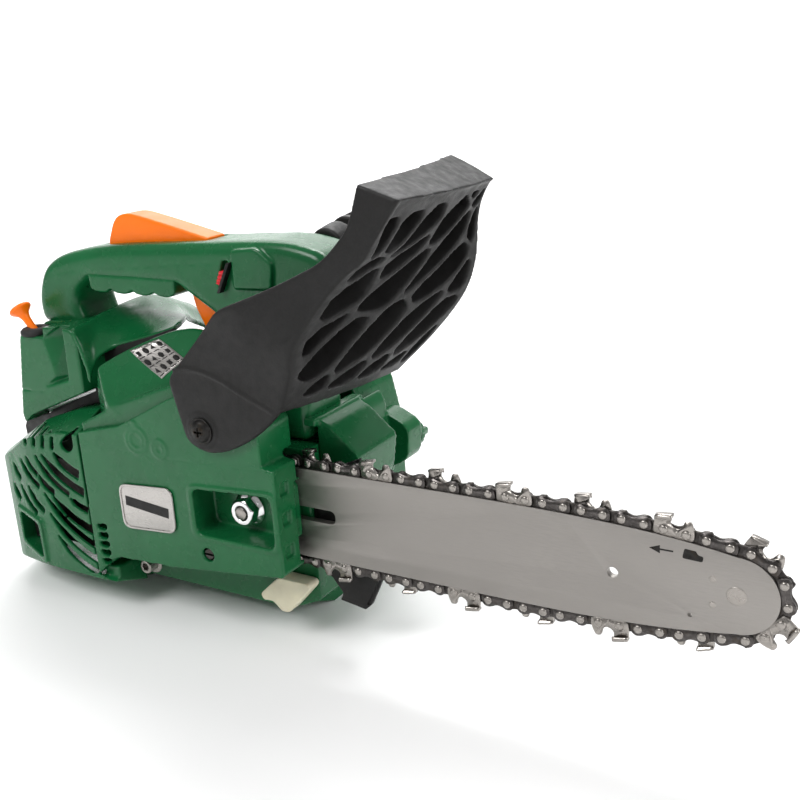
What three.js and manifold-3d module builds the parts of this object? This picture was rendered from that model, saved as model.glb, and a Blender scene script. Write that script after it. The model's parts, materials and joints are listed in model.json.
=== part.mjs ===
// A petrol top-handle chainsaw, in millimetres, +Z up.
// +X runs along the guide bar towards its nose, +Y to the starter side.
// Everything is drawn about the crankshaft's axis (X = 0, Z = 0) and the guide bar's
// middle plane (Y = 0); the group's position then puts the origin on the underside of the
// base, straight under the crankshaft.

import * as THREE from 'three';
import { mergeVertices } from 'three/addons/utils/BufferGeometryUtils.js';
import Module from 'manifold-3d';

// ---- Driving dimensions -------------------------------------------------------------

const standHeight = 80; // crank axis above the surface that the saw stands on
const baseMiddleY = 50; // from the guide bar's middle plane to the middle of the base
const gap = 0.3; // between pieces that touch

const chainPitch = 9.525; // 3/8 inch low profile: one rivet to the next, on average
const driveTeeth = 6;
const noseTeeth = 7;
const bar = { tailX: 52, noseX: 320, bellyX: 157, halfWidth: 25.8, thickness: 4, slotEndX: 111 };
const strapReach = 3; // from a rivet's centre down to the bar's rail
const chainWidth = 6.2;
const studX = 59;

const coverFaceY = -25; // outer face of the clutch cover
const caseRightY = 4; // crankcase face behind the bar
const caseLeftY = 60; // crankcase face behind the flywheel
const deckZ = 34; // top of the crankcase, under the cylinder
const caseFrontX = 92;
const caseBottomZ = -65.7;

const boreRadius = 17; // cylinder bore 34, stroke 28: about 25 cc
const stroke = 28;
const cylinderY = 37;

const handleY = [12, 48]; // sides of the top handle
const guardPivot = [50, 51]; // X and Z of the hand guard's screw
const starterY = [62, 104];
const ropeX = 8; // where the starter rope leaves its housing

// ---- Materials ----------------------------------------------------------------------

const paint = (color, roughness, metalness = 0) =>
  new THREE.MeshStandardMaterial({ color, roughness, metalness });
const green = () => paint(0x1f6b45, 0.4);
const black = () => paint(0x2b2a29, 0.75);
const orange = () => paint(0xff7a00, 0.4);
const red = () => paint(0xd71e28, 0.4);
const nylon = () => paint(0xcdc8af, 0.5);
const steel = () => paint(0x8f8b86, 0.4, 0.9);
const chainSteel = () => paint(0x4a4846, 0.4, 0.9);
const chrome = () => paint(0xd8d8d8, 0.15, 1);
const aluminium = () => paint(0xb9b7b3, 0.5, 0.8);
const castAluminium = () => paint(0x9a9a9a, 0.65, 0.7);
const darkSteel = () => paint(0x3a3633, 0.6, 0.7);
const foam = () => paint(0x3c3c38, 0.95);

// ---- Closed solids and booleans -----------------------------------------------------

const wasm = await Module();
wasm.setup();

function signedVolume(geometry) {
  const p = geometry.attributes.position;
  const corner = (i) => new THREE.Vector3().fromBufferAttribute(p, geometry.index.getX(i));
  let volume = 0;
  for (let i = 0; i < geometry.index.count; i += 3) {
    volume += corner(i).dot(corner(i + 1).cross(corner(i + 2))) / 6;
  }
  return volume;
}

// A copy with shared corners and its faces pointing out.
function closed(geometry) {
  const bare = new THREE.BufferGeometry();
  bare.setAttribute('position', geometry.attributes.position.clone());
  if (geometry.index) bare.setIndex(geometry.index.clone());
  const merged = mergeVertices(bare, 1e-4);
  const index = merged.index.array;
  const kept = [];
  for (let i = 0; i < index.length; i += 3) {
    const [a, b, c] = [index[i], index[i + 1], index[i + 2]];
    if (a !== b && b !== c && c !== a) kept.push(a, b, c);
  }
  merged.setIndex(kept);
  if (signedVolume(merged) < 0) merged.setIndex(kept.reverse());
  return merged;
}

function toSolid(geometry) {
  const g = closed(geometry);
  return new wasm.Manifold(
    new wasm.Mesh({
      numProp: 3,
      vertProperties: new Float32Array(g.attributes.position.array),
      triVerts: new Uint32Array(g.index.array),
    }),
  );
}

function toGeometry(solid) {
  const mesh = solid.getMesh();
  const g = new THREE.BufferGeometry();
  g.setAttribute('position', new THREE.BufferAttribute(mesh.vertProperties, 3));
  g.setIndex(new THREE.BufferAttribute(mesh.triVerts, 1));
  return g;
}

const combine = (how, first, rest) =>
  toGeometry(rest.reduce((solid, tool) => solid[how](toSolid(tool)), toSolid(first)));
const cut = (first, ...tools) => combine('subtract', first, tools);
const join = (first, ...others) => combine('add', first, others);
const common = (first, ...others) => combine('intersect', first, others);

// ---- Shape helpers ------------------------------------------------------------------

// A closed outline; a corner given as [a, b, r] is rounded off over the length r, or over as
// much of its two sides as leaves room for the corners next to it.
function outline(corners) {
  const shape = new THREE.Shape();
  const count = corners.length;
  corners.forEach(([a, b, r = 0], i) => {
    const here = new THREE.Vector2(a, b);
    const towards = (other) => {
      const there = new THREE.Vector2(other[0], other[1]);
      return here.clone().lerp(there, Math.min(r / here.distanceTo(there), 0.48));
    };
    const start = towards(corners[(i + count - 1) % count]);
    const end = towards(corners[(i + 1) % count]);
    if (i === 0) shape.moveTo(start.x, start.y);
    else shape.lineTo(start.x, start.y);
    if (r > 0) shape.quadraticCurveTo(a, b, end.x, end.y);
  });
  shape.closePath();
  return shape;
}

const asShape = (corners) => (corners instanceof THREE.Shape ? corners : outline(corners));

const extrude = (corners, depth, curveSegments) =>
  new THREE.ExtrudeGeometry(asShape(corners), { depth, bevelEnabled: false, curveSegments });

// Plates whose outline is drawn in (X, Z), (Y, Z) and (X, Y).
const plateXZ = (corners, [y0, y1], segments = 3) =>
  extrude(corners, y1 - y0, segments).rotateX(Math.PI / 2).translate(0, y1, 0);
const plateYZ = (corners, [x0, x1], segments = 3) =>
  extrude(corners, x1 - x0, segments)
    .applyMatrix4(new THREE.Matrix4().set(0, 0, 1, x0, 1, 0, 0, 0, 0, 1, 0, 0, 0, 0, 0, 1));
const plateXY = (corners, [z0, z1], segments = 3) => extrude(corners, z1 - z0, segments).translate(0, 0, z0);

const block = ([x0, x1], [y0, y1], [z0, z1]) =>
  new THREE.BoxGeometry(x1 - x0, y1 - y0, z1 - z0).translate((x0 + x1) / 2, (y0 + y1) / 2, (z0 + z1) / 2);

const rodY = ([x, z], radius, [y0, y1], segments = 24) =>
  new THREE.CylinderGeometry(radius, radius, y1 - y0, segments).translate(x, (y0 + y1) / 2, z);
const rodZ = ([x, y], radius, [z0, z1], segments = 24) =>
  new THREE.CylinderGeometry(radius, radius, z1 - z0, segments)
    .rotateX(Math.PI / 2)
    .translate(x, y, (z0 + z1) / 2);

// A turned piece: [radius, height] pairs from the axis round to the axis, about +Y.
const turned = (profile, segments = 24) =>
  new THREE.LatheGeometry(profile.map(([r, h]) => new THREE.Vector2(r, h)), segments);
const ringY = ([x, z], outer, inner, [y0, y1], segments = 32) =>
  turned([[inner, y0], [outer, y0], [outer, y1], [inner, y1], [inner, y0]], segments).translate(x, 0, z);

// Turns a piece made about +Y, with its foot at the origin, to lie along a direction from a point.
function along(geometry, direction, foot) {
  const turn = new THREE.Quaternion().setFromUnitVectors(
    new THREE.Vector3(0, 1, 0), new THREE.Vector3(...direction).normalize());
  return geometry.applyQuaternion(turn).translate(...foot);
}

// A solid through rings of points, each ring drawn in (X, Z) at its own Y.
function loft(sections) {
  const count = sections[0].points.length;
  const positions = sections.flatMap(({ y, points }) => points.flatMap(([x, z]) => [x, y, z]));
  const index = [];
  for (let s = 0; s + 1 < sections.length; s += 1) {
    for (let i = 0; i < count; i += 1) {
      const a = s * count + i;
      const b = s * count + ((i + 1) % count);
      index.push(a, b, a + count, b, b + count, a + count);
    }
  }
  const cap = (s, flip) => {
    const flat = sections[s].points.map(([x, z]) => new THREE.Vector2(x, z));
    for (const face of THREE.ShapeUtils.triangulateShape(flat, [])) {
      const corners = flip ? [...face].reverse() : face;
      index.push(...corners.map((i) => s * count + i));
    }
  };
  const turning = THREE.ShapeUtils.area(sections[0].points.map(([x, z]) => new THREE.Vector2(x, z)));
  cap(0, turning > 0);
  cap(sections.length - 1, turning < 0);
  const g = new THREE.BufferGeometry();
  g.setAttribute('position', new THREE.Float32BufferAttribute(positions, 3));
  g.setIndex(turning > 0 ? index : index.reverse());
  return closed(g);
}

// A band of even thickness under a curve of [x, z] points.
const bandUnder = (curve, thickness) => [
  ...curve,
  ...curve.map(([x, z], i) => {
    const before = curve[Math.max(i - 1, 0)];
    const after = curve[Math.min(i + 1, curve.length - 1)];
    const length = Math.hypot(after[0] - before[0], after[1] - before[1]);
    return [
      x + (thickness * (after[1] - before[1])) / length,
      z - (thickness * (after[0] - before[0])) / length,
    ];
  }).reverse(),
];

const saw = new THREE.Group();
saw.position.set(0, -baseMiddleY, standHeight);

function add(name, geometry, material) {
  const mesh = new THREE.Mesh(closed(geometry), material);
  mesh.name = name;
  saw.add(mesh);
}

// ---- Chain line ---------------------------------------------------------------------
// The path of the chain's rivets: round the drive sprocket, out along the bar, which
// narrows towards its nose, and round the nose sprocket.

// A tooth carries two rivets, so a sprocket's rivet circle is that of twice its teeth.
const rivetRadius = (teeth) => chainPitch / (2 * Math.sin(Math.PI / (2 * teeth)));
const driveRadius = rivetRadius(driveTeeth);
const noseRadius = rivetRadius(noseTeeth);
const shoulderX = 70;
const railHalf = bar.halfWidth + strapReach;

// Height of the rivet line over the bar's middle, past the shoulder.
function rivetHeight(x) {
  if (x < bar.bellyX) return railHalf;
  const t = (bar.noseX - x) / (bar.noseX - bar.bellyX);
  return noseRadius + (railHalf - noseRadius) * (1 - (1 - t) ** 4);
}

// The loop, offset outwards, anticlockwise from the shoulder above the bar.
function chainLoop(offset) {
  const reach = Math.hypot(shoulderX, railHalf);
  const slope = Math.acos(driveRadius / reach) - Math.atan2(shoulderX, railHalf);
  const arc = (cx, radius, from, to, steps) =>
    Array.from({ length: steps + 1 }, (_, i) => {
      const angle = from + ((to - from) * i) / steps;
      return [cx + (radius + offset) * Math.cos(angle), (radius + offset) * Math.sin(angle)];
    });
  const narrowing = Array.from({ length: 7 }, (_, i) => bar.bellyX + ((bar.noseX - bar.bellyX) * i) / 7);
  const upper = [shoulderX, ...narrowing].map((x) => [x, rivetHeight(x) + offset]);
  const lower = upper.map(([x, z]) => [x, -z]);
  const quarter = Math.PI / 2;
  return [
    ...arc(0, driveRadius, quarter + slope, 3 * quarter - slope, 10),
    ...lower,
    ...arc(bar.noseX, noseRadius, -quarter, quarter, 12),
    ...upper.reverse(),
  ];
}

// ---- Guide bar, chain and nose ------------------------------------------------------

function guideBar() {
  const upper = [];
  for (let i = 0; i <= 8; i += 1) {
    const x = bar.bellyX + ((bar.noseX - bar.bellyX) * i) / 8;
    upper.push([x, rivetHeight(x) - strapReach]);
  }
  const nose = new THREE.Shape();
  nose.moveTo(bar.tailX, -17);
  nose.lineTo(bar.tailX + 5, -20);
  nose.lineTo(shoulderX + 18, -bar.halfWidth);
  upper.forEach(([x, z]) => nose.lineTo(x, -z));
  nose.absarc(bar.noseX, 0, noseRadius - strapReach, -Math.PI / 2, Math.PI / 2, false);
  upper.reverse().forEach(([x, z]) => nose.lineTo(x, z));
  nose.lineTo(shoulderX + 18, bar.halfWidth);
  nose.lineTo(bar.tailX + 5, 20);
  nose.lineTo(bar.tailX, 17);
  const half = bar.thickness / 2;
  const slotHalf = 3.9;
  const slot = new THREE.Shape();
  slot.absarc(bar.slotEndX - slotHalf, 0, slotHalf, -Math.PI / 2, Math.PI / 2, false);
  slot.absarc(bar.tailX + 1.5, 0, slotHalf, Math.PI / 2, (3 * Math.PI) / 2, false);
  const through = [-half - 1, half + 1];
  return cut(
    plateXZ(nose, [-half, half], 12),
    plateXZ(slot, through, 6),
    rodY([264, 0], 2.7, through, 12), // lightening hole
    rodY([76, -13], 2.6, through, 12), // hole that the tensioner's pin sits in
    rodY([bar.noseX, 0], noseRadius - strapReach + 1, [-0.9, 0.9], 28), // pocket of the nose sprocket
  );
}

function noseSprocket() {
  const tip = noseRadius - strapReach - 0.5;
  const star = [];
  for (let i = 0; i < noseTeeth; i += 1) {
    for (const [turn, radius] of [[-0.18, tip - 4.5], [-0.08, tip], [0.08, tip], [0.18, tip - 4.5]]) {
      const angle = (2 * Math.PI * (i + 0.5 + turn)) / noseTeeth;
      star.push([bar.noseX + radius * Math.cos(angle), radius * Math.sin(angle)]);
    }
  }
  return plateXZ(star, [-0.6, 0.6]);
}

function chain() {
  const ring = asShape(chainLoop(4.6));
  ring.holes.push(asShape(chainLoop(-strapReach + gap)));
  return plateXZ(ring, [-chainWidth / 2, chainWidth / 2]);
}

add('guide_bar', guideBar(), steel());
add('nose_sprocket', noseSprocket(), darkSteel());
add('saw_chain', chain(), chainSteel());

// ---- Clutch, drum and brake ---------------------------------------------------------

const drumRadius = 27;
const clutchY = [-20, -8.4];

function clutchDrum() {
  const cup = turned([
    [5.6, -8], [24, -8], [25.6, -9.5], [25.6, -20], [drumRadius, -20], [drumRadius, -8], [25, -5], [5.6, -5],
    [5.6, -8],
  ], 32);
  const spur = [];
  const root = driveRadius - 7;
  for (let i = 0; i < driveTeeth; i += 1) {
    for (const [turn, radius] of [[-0.3, root], [-0.13, driveRadius - 3.3], [0.13, driveRadius - 3.3], [0.3, root]]) {
      const angle = (2 * Math.PI * (i + turn)) / driveTeeth;
      spur.push([radius * Math.cos(angle), radius * Math.sin(angle)]);
    }
  }
  const spurShape = asShape(spur);
  spurShape.holes.push(new THREE.Path().absarc(0, 0, 5.6, 0, 2 * Math.PI, true));
  return join(cup, plateXZ(spurShape, [-5.2, 2.8], 6));
}

// One centrifugal shoe: a third of a ring between the hub and the drum.
function clutchShoe(turn) {
  const half = Math.PI / 3 - 0.09;
  const shoe = new THREE.Shape();
  shoe.absarc(0, 0, 24.6, -half, half, false);
  shoe.absarc(0, 0, 13.6, half, -half, true);
  return plateXZ(shoe, [-18, -9], 10).rotateY(turn);
}

add('clutch_drum', clutchDrum(), darkSteel());
add('clutch_hub', join(
  ringY([0, 0], 9, 5.2, clutchY),
  ...[0, 1, 2].map((i) => block([8, 13.2], [-16.4, -11.6], [-3, 3]).rotateY((2 * Math.PI * i) / 3)),
), darkSteel());
[0, 1, 2].forEach((i) => add(`clutch_shoe_${i + 1}`, clutchShoe((2 * Math.PI * i) / 3), darkSteel()));
add('clutch_spring', ringY([0, 0], 24, 21.5, [-19.8, -18.3]), steel());

function brakeBand() {
  const band = new THREE.Shape();
  band.absarc(0, 0, drumRadius + 1.9, 0.5, 2 * Math.PI - 0.25, false);
  band.absarc(0, 0, drumRadius + 0.7, 2 * Math.PI - 0.25, 0.5, true);
  return plateXZ(band, [-18, -9], 28);
}
add('brake_band', brakeBand(), steel());

// ---- Clutch cover and what is on it -------------------------------------------------

const recess = [33, 87, -13, 17]; // low and high X, low and high Z of the bar-nut recess

function clutchCover() {
  const side = [
    [90.6, -29, 2], [12, -38], [-30, -40], [-36, -42, 3], [-51, -55], [-49.5, 36], [-16, 44], [30, 67, 6],
    [60, 68, 8], [83, 54, 3], [83, 33], [90.6, 32],
  ];
  const inside = [
    [94, -26], [12, -35], [-30, -37], [-37, -38.5], [-47.8, -49], [-46.6, 33.5], [-15, 40.8], [30, 63.5],
    [58, 64.5], [80, 52], [80, 20], [94, 20],
  ];
  const frontWall = block([87.4, 90.6], [coverFaceY, -8], [-27, 32]);
  const [x0, x1, z0, z1] = recess;
  const pocket = (grow) => [
    [x0 - grow, z0 - grow, 5], [x1 + grow, z0 - grow, 5], [x1 + grow, z1 + grow, 5], [x0 - grow, z1 + grow, 5],
  ];
  return cut(
    join(
      cut(plateXZ(side, [coverFaceY, 2.8]), plateXZ(inside, [coverFaceY + 3, 3])),
      frontWall,
      plateXZ(pocket(2), [coverFaceY + 1, -2 - gap]),
    ),
    plateXZ(pocket(0), [coverFaceY - 1, -8]),
    block([40, 95], [-5, 3], [21, 36]), // ways out for the upper and lower runs of the chain
    block([30, 95], [-5, 3], [-36, -19]),
    block([40, 95], [-2 - gap, 3], [-30, 30]), // way out for the bar
    rodY([studX, 0], 4.6, [-9, 0], 16),
    rodY([39, -25], 4, [coverFaceY - 1, coverFaceY + 4], 16), // hole over the tension screw
    ...[0, 1, 2, 3, 4].map((i) => // short cooling slots
      block([-45, -39], [coverFaceY - 1, coverFaceY + 4], [-24.5 - 5.6 * i, -21.5 - 5.6 * i])),
  );
}
add('clutch_cover', clutchCover(), green());
add('badge_plate', plateXZ([[-23.5, -18, 5], [16.5, -14, 5], [16, 12, 5], [-23, 9, 5]],
  [coverFaceY - 0.3 - 0.8, coverFaceY - 0.3]), aluminium());

// Threaded stud out of the crankcase, and the flange nut that clamps cover and bar.
const hexagon = (x, z, radius) =>
  Array.from({ length: 6 }, (_, i) => [x + radius * Math.cos((i * Math.PI) / 3), z + radius * Math.sin((i * Math.PI) / 3)]);
add('bar_stud', rodY([studX, 0], 3.7, [-16, 13], 12), steel());
add('bar_nut', cut(
  join(plateXZ(hexagon(studX, 0, 7.3), [-15.5, -9]), rodY([studX, 0], 9, [-10, -8 - gap])),
  rodY([studX, 0], 4, [-17, -8], 12),
), chrome());

add('tension_screw', cut(
  rodY([39, -25], 3.4, [-24, -6], 12),
  block([34, 44], [-25, -22.6], [-25.5, -24.5]),
), darkSteel());
add('tension_pin', rodY([76, -13], 2.3, [-1.9, 7], 12), steel());

function chainCatcher() {
  const lobe = [[54, -60, 3], [60, -43, 3], [76, -41, 3], [86, -46, 4], [88, -58, 5], [80, -66, 4], [68, -67, 2]];
  return plateXZ(lobe, [-6.5, 3.7]);
}
add('chain_catcher', chainCatcher(), nylon());

// ---- Crankcase and engine -----------------------------------------------------------

function crankcase() {
  const side = [
    [-44, caseBottomZ, 8], [70, caseBottomZ, 6], [caseFrontX, -56, 3], [caseFrontX, deckZ], [-44, deckZ],
  ];
  const pad = plateXZ([[49, -17, 3], [caseFrontX, -17], [caseFrontX, 17], [49, 17, 3]], [2.4, caseRightY + 1]);
  return cut(
    join(plateXZ(side, [caseRightY, caseLeftY]), pad),
    rodY([0, 0], 27, [26, 48]), // crank chamber
    rodY([0, 0], 11.3, [8, caseLeftY + 1]), // main bearing bore
    rodY([0, 0], 8, [caseRightY - 1, 9]),
    rodZ([0, cylinderY], boreRadius + 3, [0, deckZ + 1]), // mouth for the cylinder's skirt
    rodY([studX, 0], 4, [0, 13.5], 12),
    block([68, 79], [2, 8], [-16, -10]), // window in which the tension pin travels
    block([-16, 16], [2, 8.5], [-18.5, -50]), // seat of the oil pump
  );
}
add('crankcase', crankcase(), green());
add('oil_pump', join(block([-15, 15], [4.3, 8.2], [-49, -20]), rodY([-6, -34], 5, [3.1, 5], 16)), castAluminium());
add('main_bearing_right', ringY([0, 0], 11, 6.3, [10, 18], 20), steel());
add('main_bearing_left', ringY([0, 0], 11, 6.3, [50, 58], 20), steel());

function crankshaft() {
  const web = (y0, y1) => plateXZ([[-14, -16, 6], [14, -16, 6], [7, 19, 6], [-7, 19, 6]], [y0, y1]);
  return join(
    rodY([0, 0], 5, [-20.5, 32.5], 20),
    rodY([0, 0], 6, [9.8, 32.5], 20),
    web(27, 32.5),
    rodY([0, stroke / 2], 4, [32, 42], 16),
    web(41.5, 47),
    rodY([0, 0], 6, [41.5, 61.5], 20),
    rodY([0, 0], 4.6, [61, 79], 20),
  );
}
add('crankshaft', crankshaft(), steel());

function cylinder() {
  const square = [[-27, 13, 6], [27, 13, 6], [27, 61, 6], [-27, 61, 6]];
  const fins = [0, 1, 2, 3, 4].map((i) => plateXY(square, [42 + 7 * i, 44.4 + 7 * i], 1));
  return cut(
    join(
      rodZ([0, cylinderY], boreRadius + 2.6, [27, 40.5]),
      rodZ([0, cylinderY], boreRadius + 5, [34.3, 74]),
      plateXY([[-24, 16, 4], [24, 16, 4], [24, 58, 4], [-24, 58, 4]], [34.3, 37], 1),
      ...fins,
    ),
    rodZ([0, cylinderY], boreRadius + 0.2, [15, 70]),
  );
}
add('cylinder', cylinder(), castAluminium());

// The piston stands at the top of its stroke.
add('piston', cut(
  rodZ([0, cylinderY], boreRadius, [49.4, 69.4]),
  rodZ([0, cylinderY], boreRadius - 2.5, [48, 65], 16),
  rodY([0, 58], 3.5, [10, 64], 12),
), aluminium());

const plugAxis = [0, -1, 0];
const plugFoot = [2, 12.6, 62];
add('spark_plug', along(
  turned([[0, 0], [7, 0], [7, 1], [9.5, 1], [9.5, 6], [5, 7], [5, 13], [3, 13.5], [3, 16], [0, 16]], 12),
  plugAxis, plugFoot), chrome());
add('plug_boot', along(
  turned([[5.6, 0], [7.4, 0], [7.8, 8], [6.5, 12], [0, 12], [0, 8.6], [5.6, 8.6], [5.6, 0]], 12),
  plugAxis, plugFoot.map((v, i) => v + 8.2 * plugAxis[i])), black());

add('ignition_coil', plateXZ([[-14, 45.4, 2], [14, 45.4, 2], [14, 54, 2], [-14, 54, 2]], [63.2, 76], 1), black());

// ---- Flywheel and recoil starter ----------------------------------------------------

function flywheel() {
  const blades = Array.from({ length: 8 }, (_, i) =>
    block([22, 43], [71, 77], [-1, 1]).rotateY((2 * Math.PI * i) / 8));
  return join(ringY([0, 0], 44, 4.8, [64, 72], 32), ringY([0, 0], 12, 4.8, [71, 77], 20), ...blades);
}
add('flywheel', flywheel(), castAluminium());

function starterHousing() {
  const side = [
    [-58, -58, 24], [60, -62, 10], [92, -40, 14], [92, 22, 8], [84, 58, 12], [-30, 60, 16], [-58, 34, 18],
  ];
  const inside = [
    [-55, -55, 22], [59, -59, 8], [89, -38, 12], [89, 21, 7], [81.5, 55, 10], [-29, 57, 14], [-55, 33, 16],
  ];
  const vents = Array.from({ length: 12 }, (_, i) =>
    block([26, 44], [99, 106], [-2, 2]).rotateY((2 * Math.PI * (i + 0.5)) / 12));
  return cut(
    join(
      cut(plateXZ(side, starterY), plateXZ(inside, [61, starterY[1] - 3])),
      rodY([0, 0], 5, [84, starterY[1]], 16), // post that the pulley turns on
    ),
    rodZ([ropeX, 91], 3.5, [50, 64], 12), // rope guide
    ...vents,
  );
}
add('starter_housing', starterHousing(), green());
add('starter_pulley', ringY([0, 0], 22, 5.2, [85, 92]), black());
add('recoil_spring', ringY([0, 0], 18, 7, [93, 99]), steel());

function starterHandle() {
  const grip = [[-18, 60.5, 3], [18, 60.5, 3], [20, 69, 4], [12, 74, 3], [-12, 74, 3], [-20, 69, 4]];
  return join(
    plateXZ(grip.map(([x, z, r]) => [x + ropeX, z, r]), [84, 98], 2),
    rodZ([ropeX, 91], 3.1, [52, 62], 12),
  );
}
add('starter_handle', starterHandle(), black());

// ---- Tanks and base -----------------------------------------------------------------

add('base_shell', plateYZ([[8, -66], [14, -80], [100, -80, 3], [104, -66]], [-50.8, 72]), green());

function fuelTank() {
  const top = [[-108, 48, 6], [-44.3, 48], [-44.3, 61.7], [-60, 61.7], [-60, 104, 6], [-108, 104, 10]];
  return cut(
    join(plateXY(top, [-66 + gap, 8]), rodY([-84, -28], 15, [100, 106], 20)),
    plateXY([[-105, 51, 5], [-63, 51], [-63, 100, 5], [-105, 100, 8]], [-62, 4.5]),
    rodY([-84, -28], 11, [98, 108], 20),
  );
}
add('fuel_tank', fuelTank(), green());

function fillerCap(x, z, y, radius) {
  const lobes = Array.from({ length: 3 }, (_, i) =>
    block([-radius * 0.95, radius * 0.95], [y + 4, y + 9], [-2.2, 2.2]).rotateY((Math.PI * i) / 3));
  return join(
    rodY([0, 0], radius, [y, y + 5], 20),
    rodY([0, 0], radius * 0.68, [y - 6, y + 1], 20),
    ...lobes,
  ).translate(x, 0, z);
}
add('fuel_cap', fillerCap(-84, -28, 106.3, 15), black());

function oilTank() {
  const front = [[14, 14, 3], [60, 8, 3], [85, 20, 4], [70, 42, 4], [34, 50, 4]];
  return cut(
    join(
      plateYZ(front, [caseFrontX + gap, 118]),
      plateXZ([[caseFrontX + gap, -4, 2], [114, 8, 4], [114, 26, 4], [caseFrontX + gap, 34, 2]], [74, 90]),
    ),
    rodY([103, 16], 6.8, [78, 92], 16),
  );
}
add('oil_tank', oilTank(), green());
add('oil_cap', fillerCap(103, 16, 90.3, 9.6), green());

// Toothed bumper plate beside the bar.
function bumperSpike() {
  return plateXZ([
    [caseFrontX + gap, -40], [102, -57, 1], [126, -62, 1], [137, -34], [120, -30], [112, -18, 4], [112, 4, 4],
    [122, 12, 2], [124, 33, 1], [108, 26, 2], [caseFrontX + gap, 20],
  ], [5, 8]);
}
add('bumper_spike', bumperSpike(), black());
add('case_bolt', join(rodY([-26, -52], 4.3, [-11, -3.3], 16), rodY([-26, -52], 2.5, [-4, 3.7], 12)), steel());

// ---- Muffler and its grille cover ---------------------------------------------------

const grilleFrontX = -51.5;

function mufflerCover() {
  const plan = (inset) => [
    [grilleFrontX + inset * 2, coverFaceY + inset],
    [-96, coverFaceY + inset, 10],
    [-134 + inset, -16 + inset, 10],
    [-151 + inset, 10, 12],
    [-151 + inset, 46 + inset * 2],
    [grilleFrontX + inset * 2, 46 + inset * 2],
  ];
  const top = [[-160, -12], [-139, 7], [-118, 20], [-100, 31], [-71, 41], [-40, 46]];
  const side = (inset) => [
    [grilleFrontX + 6, -76 + inset], [-128, -76 + inset, 8], [-151 + inset, -58, 10],
    [-146 + inset, 1 - inset, 6], ...top.slice(1, 5).map(([x, z]) => [x, z - inset, 4]),
    [grilleFrontX + 6, 45 - inset],
  ];
  // The wide chamfer between the top and the right side.
  const above = (drop) => [...top.map(([x, z]) => [x, z - drop]), [-40, 60], [-160, 60]];
  const chamfer = (inset) => loft([
    { y: coverFaceY - 1, points: above(11 + inset) },
    { y: -4, points: above(inset) },
  ]);
  const outer = cut(common(plateXY(plan(0), [-80, 50]), plateXZ(side(0), [-30, 60])), chamfer(0));
  const inner = cut(common(plateXY(plan(2.6), [-80, 50]), plateXZ(side(2.6), [-30, 70])), chamfer(2.6));
  const slots = [];
  for (const [column, rows] of [[-62, 6], [-80, 6], [-98, 3], [-114, 3]]) {
    for (let row = 0; row < rows; row += 1) {
      const z = 12 - row * 12;
      slots.push(plateXZ([[column - 6, z], [column - 1, z], [column + 6, z - 9], [column + 1, z - 9]], [-30, -5], 1));
    }
  }
  const port = block([-120, -97], [-35, -4], [-53, -29]);
  return cut(outer, inner, port, ...slots);
}
add('muffler_cover', mufflerCover(), green());

function muffler() {
  const can = plateXZ([[-118, -48, 8], [-62, -48, 8], [-62, 8, 8], [-118, 8, 8]], [-8, 34]);
  const flange = plateXZ([[-63, -30, 3], [-47, -30], [-47, 6], [-63, 6, 3]], [12, 30]);
  const tail = block([-117, -100], [-13, -6], [-47, -31]);
  return cut(join(can, flange, tail), block([-114.5, -102.5], [-14, 4], [-44.5, -33.5]),
    rodY([-80, -20], 5, [-10, 6], 12));
}
add('muffler', muffler(), darkSteel());

// ---- Intake -------------------------------------------------------------------------

add('carburettor', join(
  block([-88, -69.2], [20, 46], [54.5, 76]),
  along(turned([[0, 0], [8, 0], [8, 14], [0, 14]], 16), [1, 0, 0], [-70, cylinderY, 60]),
), castAluminium());
add('intake_boot', along(
  turned([[8.6, 0], [11, 0], [11, 4], [9.4, 6], [11, 8], [11, 26], [8.6, 26], [8.6, 0]], 16),
  [1, 0, 0], [-55.7, cylinderY, 60]), black());
add('air_filter', plateXZ([[-104, 48, 4], [-91, 48, 4], [-91, 78, 4], [-104, 78, 4]], [2, 46]), foam());

const chokeFoot = [-98, -1, 89.4];
const chokeAxis = [-0.6, 0, 0.8];

function airFilterCover() {
  const back = [[-74, 92.4, 3], [-103, 90, 3], [-107, 84, 3], [-116.5, 34, 2], [-115, 28, 2], [-108, 34, 2]];
  const side = [[-66, 51, 2], [-66, 90, 3], ...back];
  const cheek = [[-58, 54, 3], [-51.4, 60, 3], [-52, 67, 4], [-61, 91, 2], ...back];
  const inside = [
    [-68.6, 53], [-68.6, 88], [-75, 89.6, 2], [-101, 87.2, 2], [-104.4, 82, 2], [-113.4, 35, 2], [-108, 37, 2],
  ];
  return cut(
    join(plateXZ(side, [-8, 50]), plateXZ(cheek, [-8, 11])),
    plateXZ(inside, [-5, 47.4]),
    along(turned([[0, -8], [12, -8], [12, 8], [0, 8]], 24), [1, 0, 0], [-66, cylinderY, 60]),
    along(turned([[0, -12], [3.4, -12], [3.4, 12], [0, 12]], 12), chokeAxis, chokeFoot),
  );
}
add('air_filter_cover', airFilterCover(), green());
add('choke_grommet', cut(
  along(turned([[0, 2.6], [9, 2.6], [9.4, 4], [8, 6.4], [0, 6.4]], 16), [0, 0, 1],
    [chokeFoot[0], chokeFoot[1], chokeFoot[2] - 0.4]),
  along(turned([[0, -12], [3, -12], [3, 14], [0, 14]], 12), chokeAxis, chokeFoot),
), black());
add('choke_knob', along(
  turned([[0, -9], [2.6, -9], [2.6, 12], [3.2, 15], [6.6, 18], [6.6, 19.4], [5.4, 20.4], [0, 20.8]], 16),
  chokeAxis, chokeFoot), orange());

const primerAt = [-88, 56];
add('primer_base', ringY(primerAt, 12, 9.4, [50 + gap, 56], 20), black());
add('primer_bulb', turned([[0, 54.3], [9, 54.3], [9, 58], [6.5, 61.5], [0, 63]], 20)
  .translate(primerAt[0], 0, primerAt[1]), nylon());

// ---- Covers over the engine ---------------------------------------------------------

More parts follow.
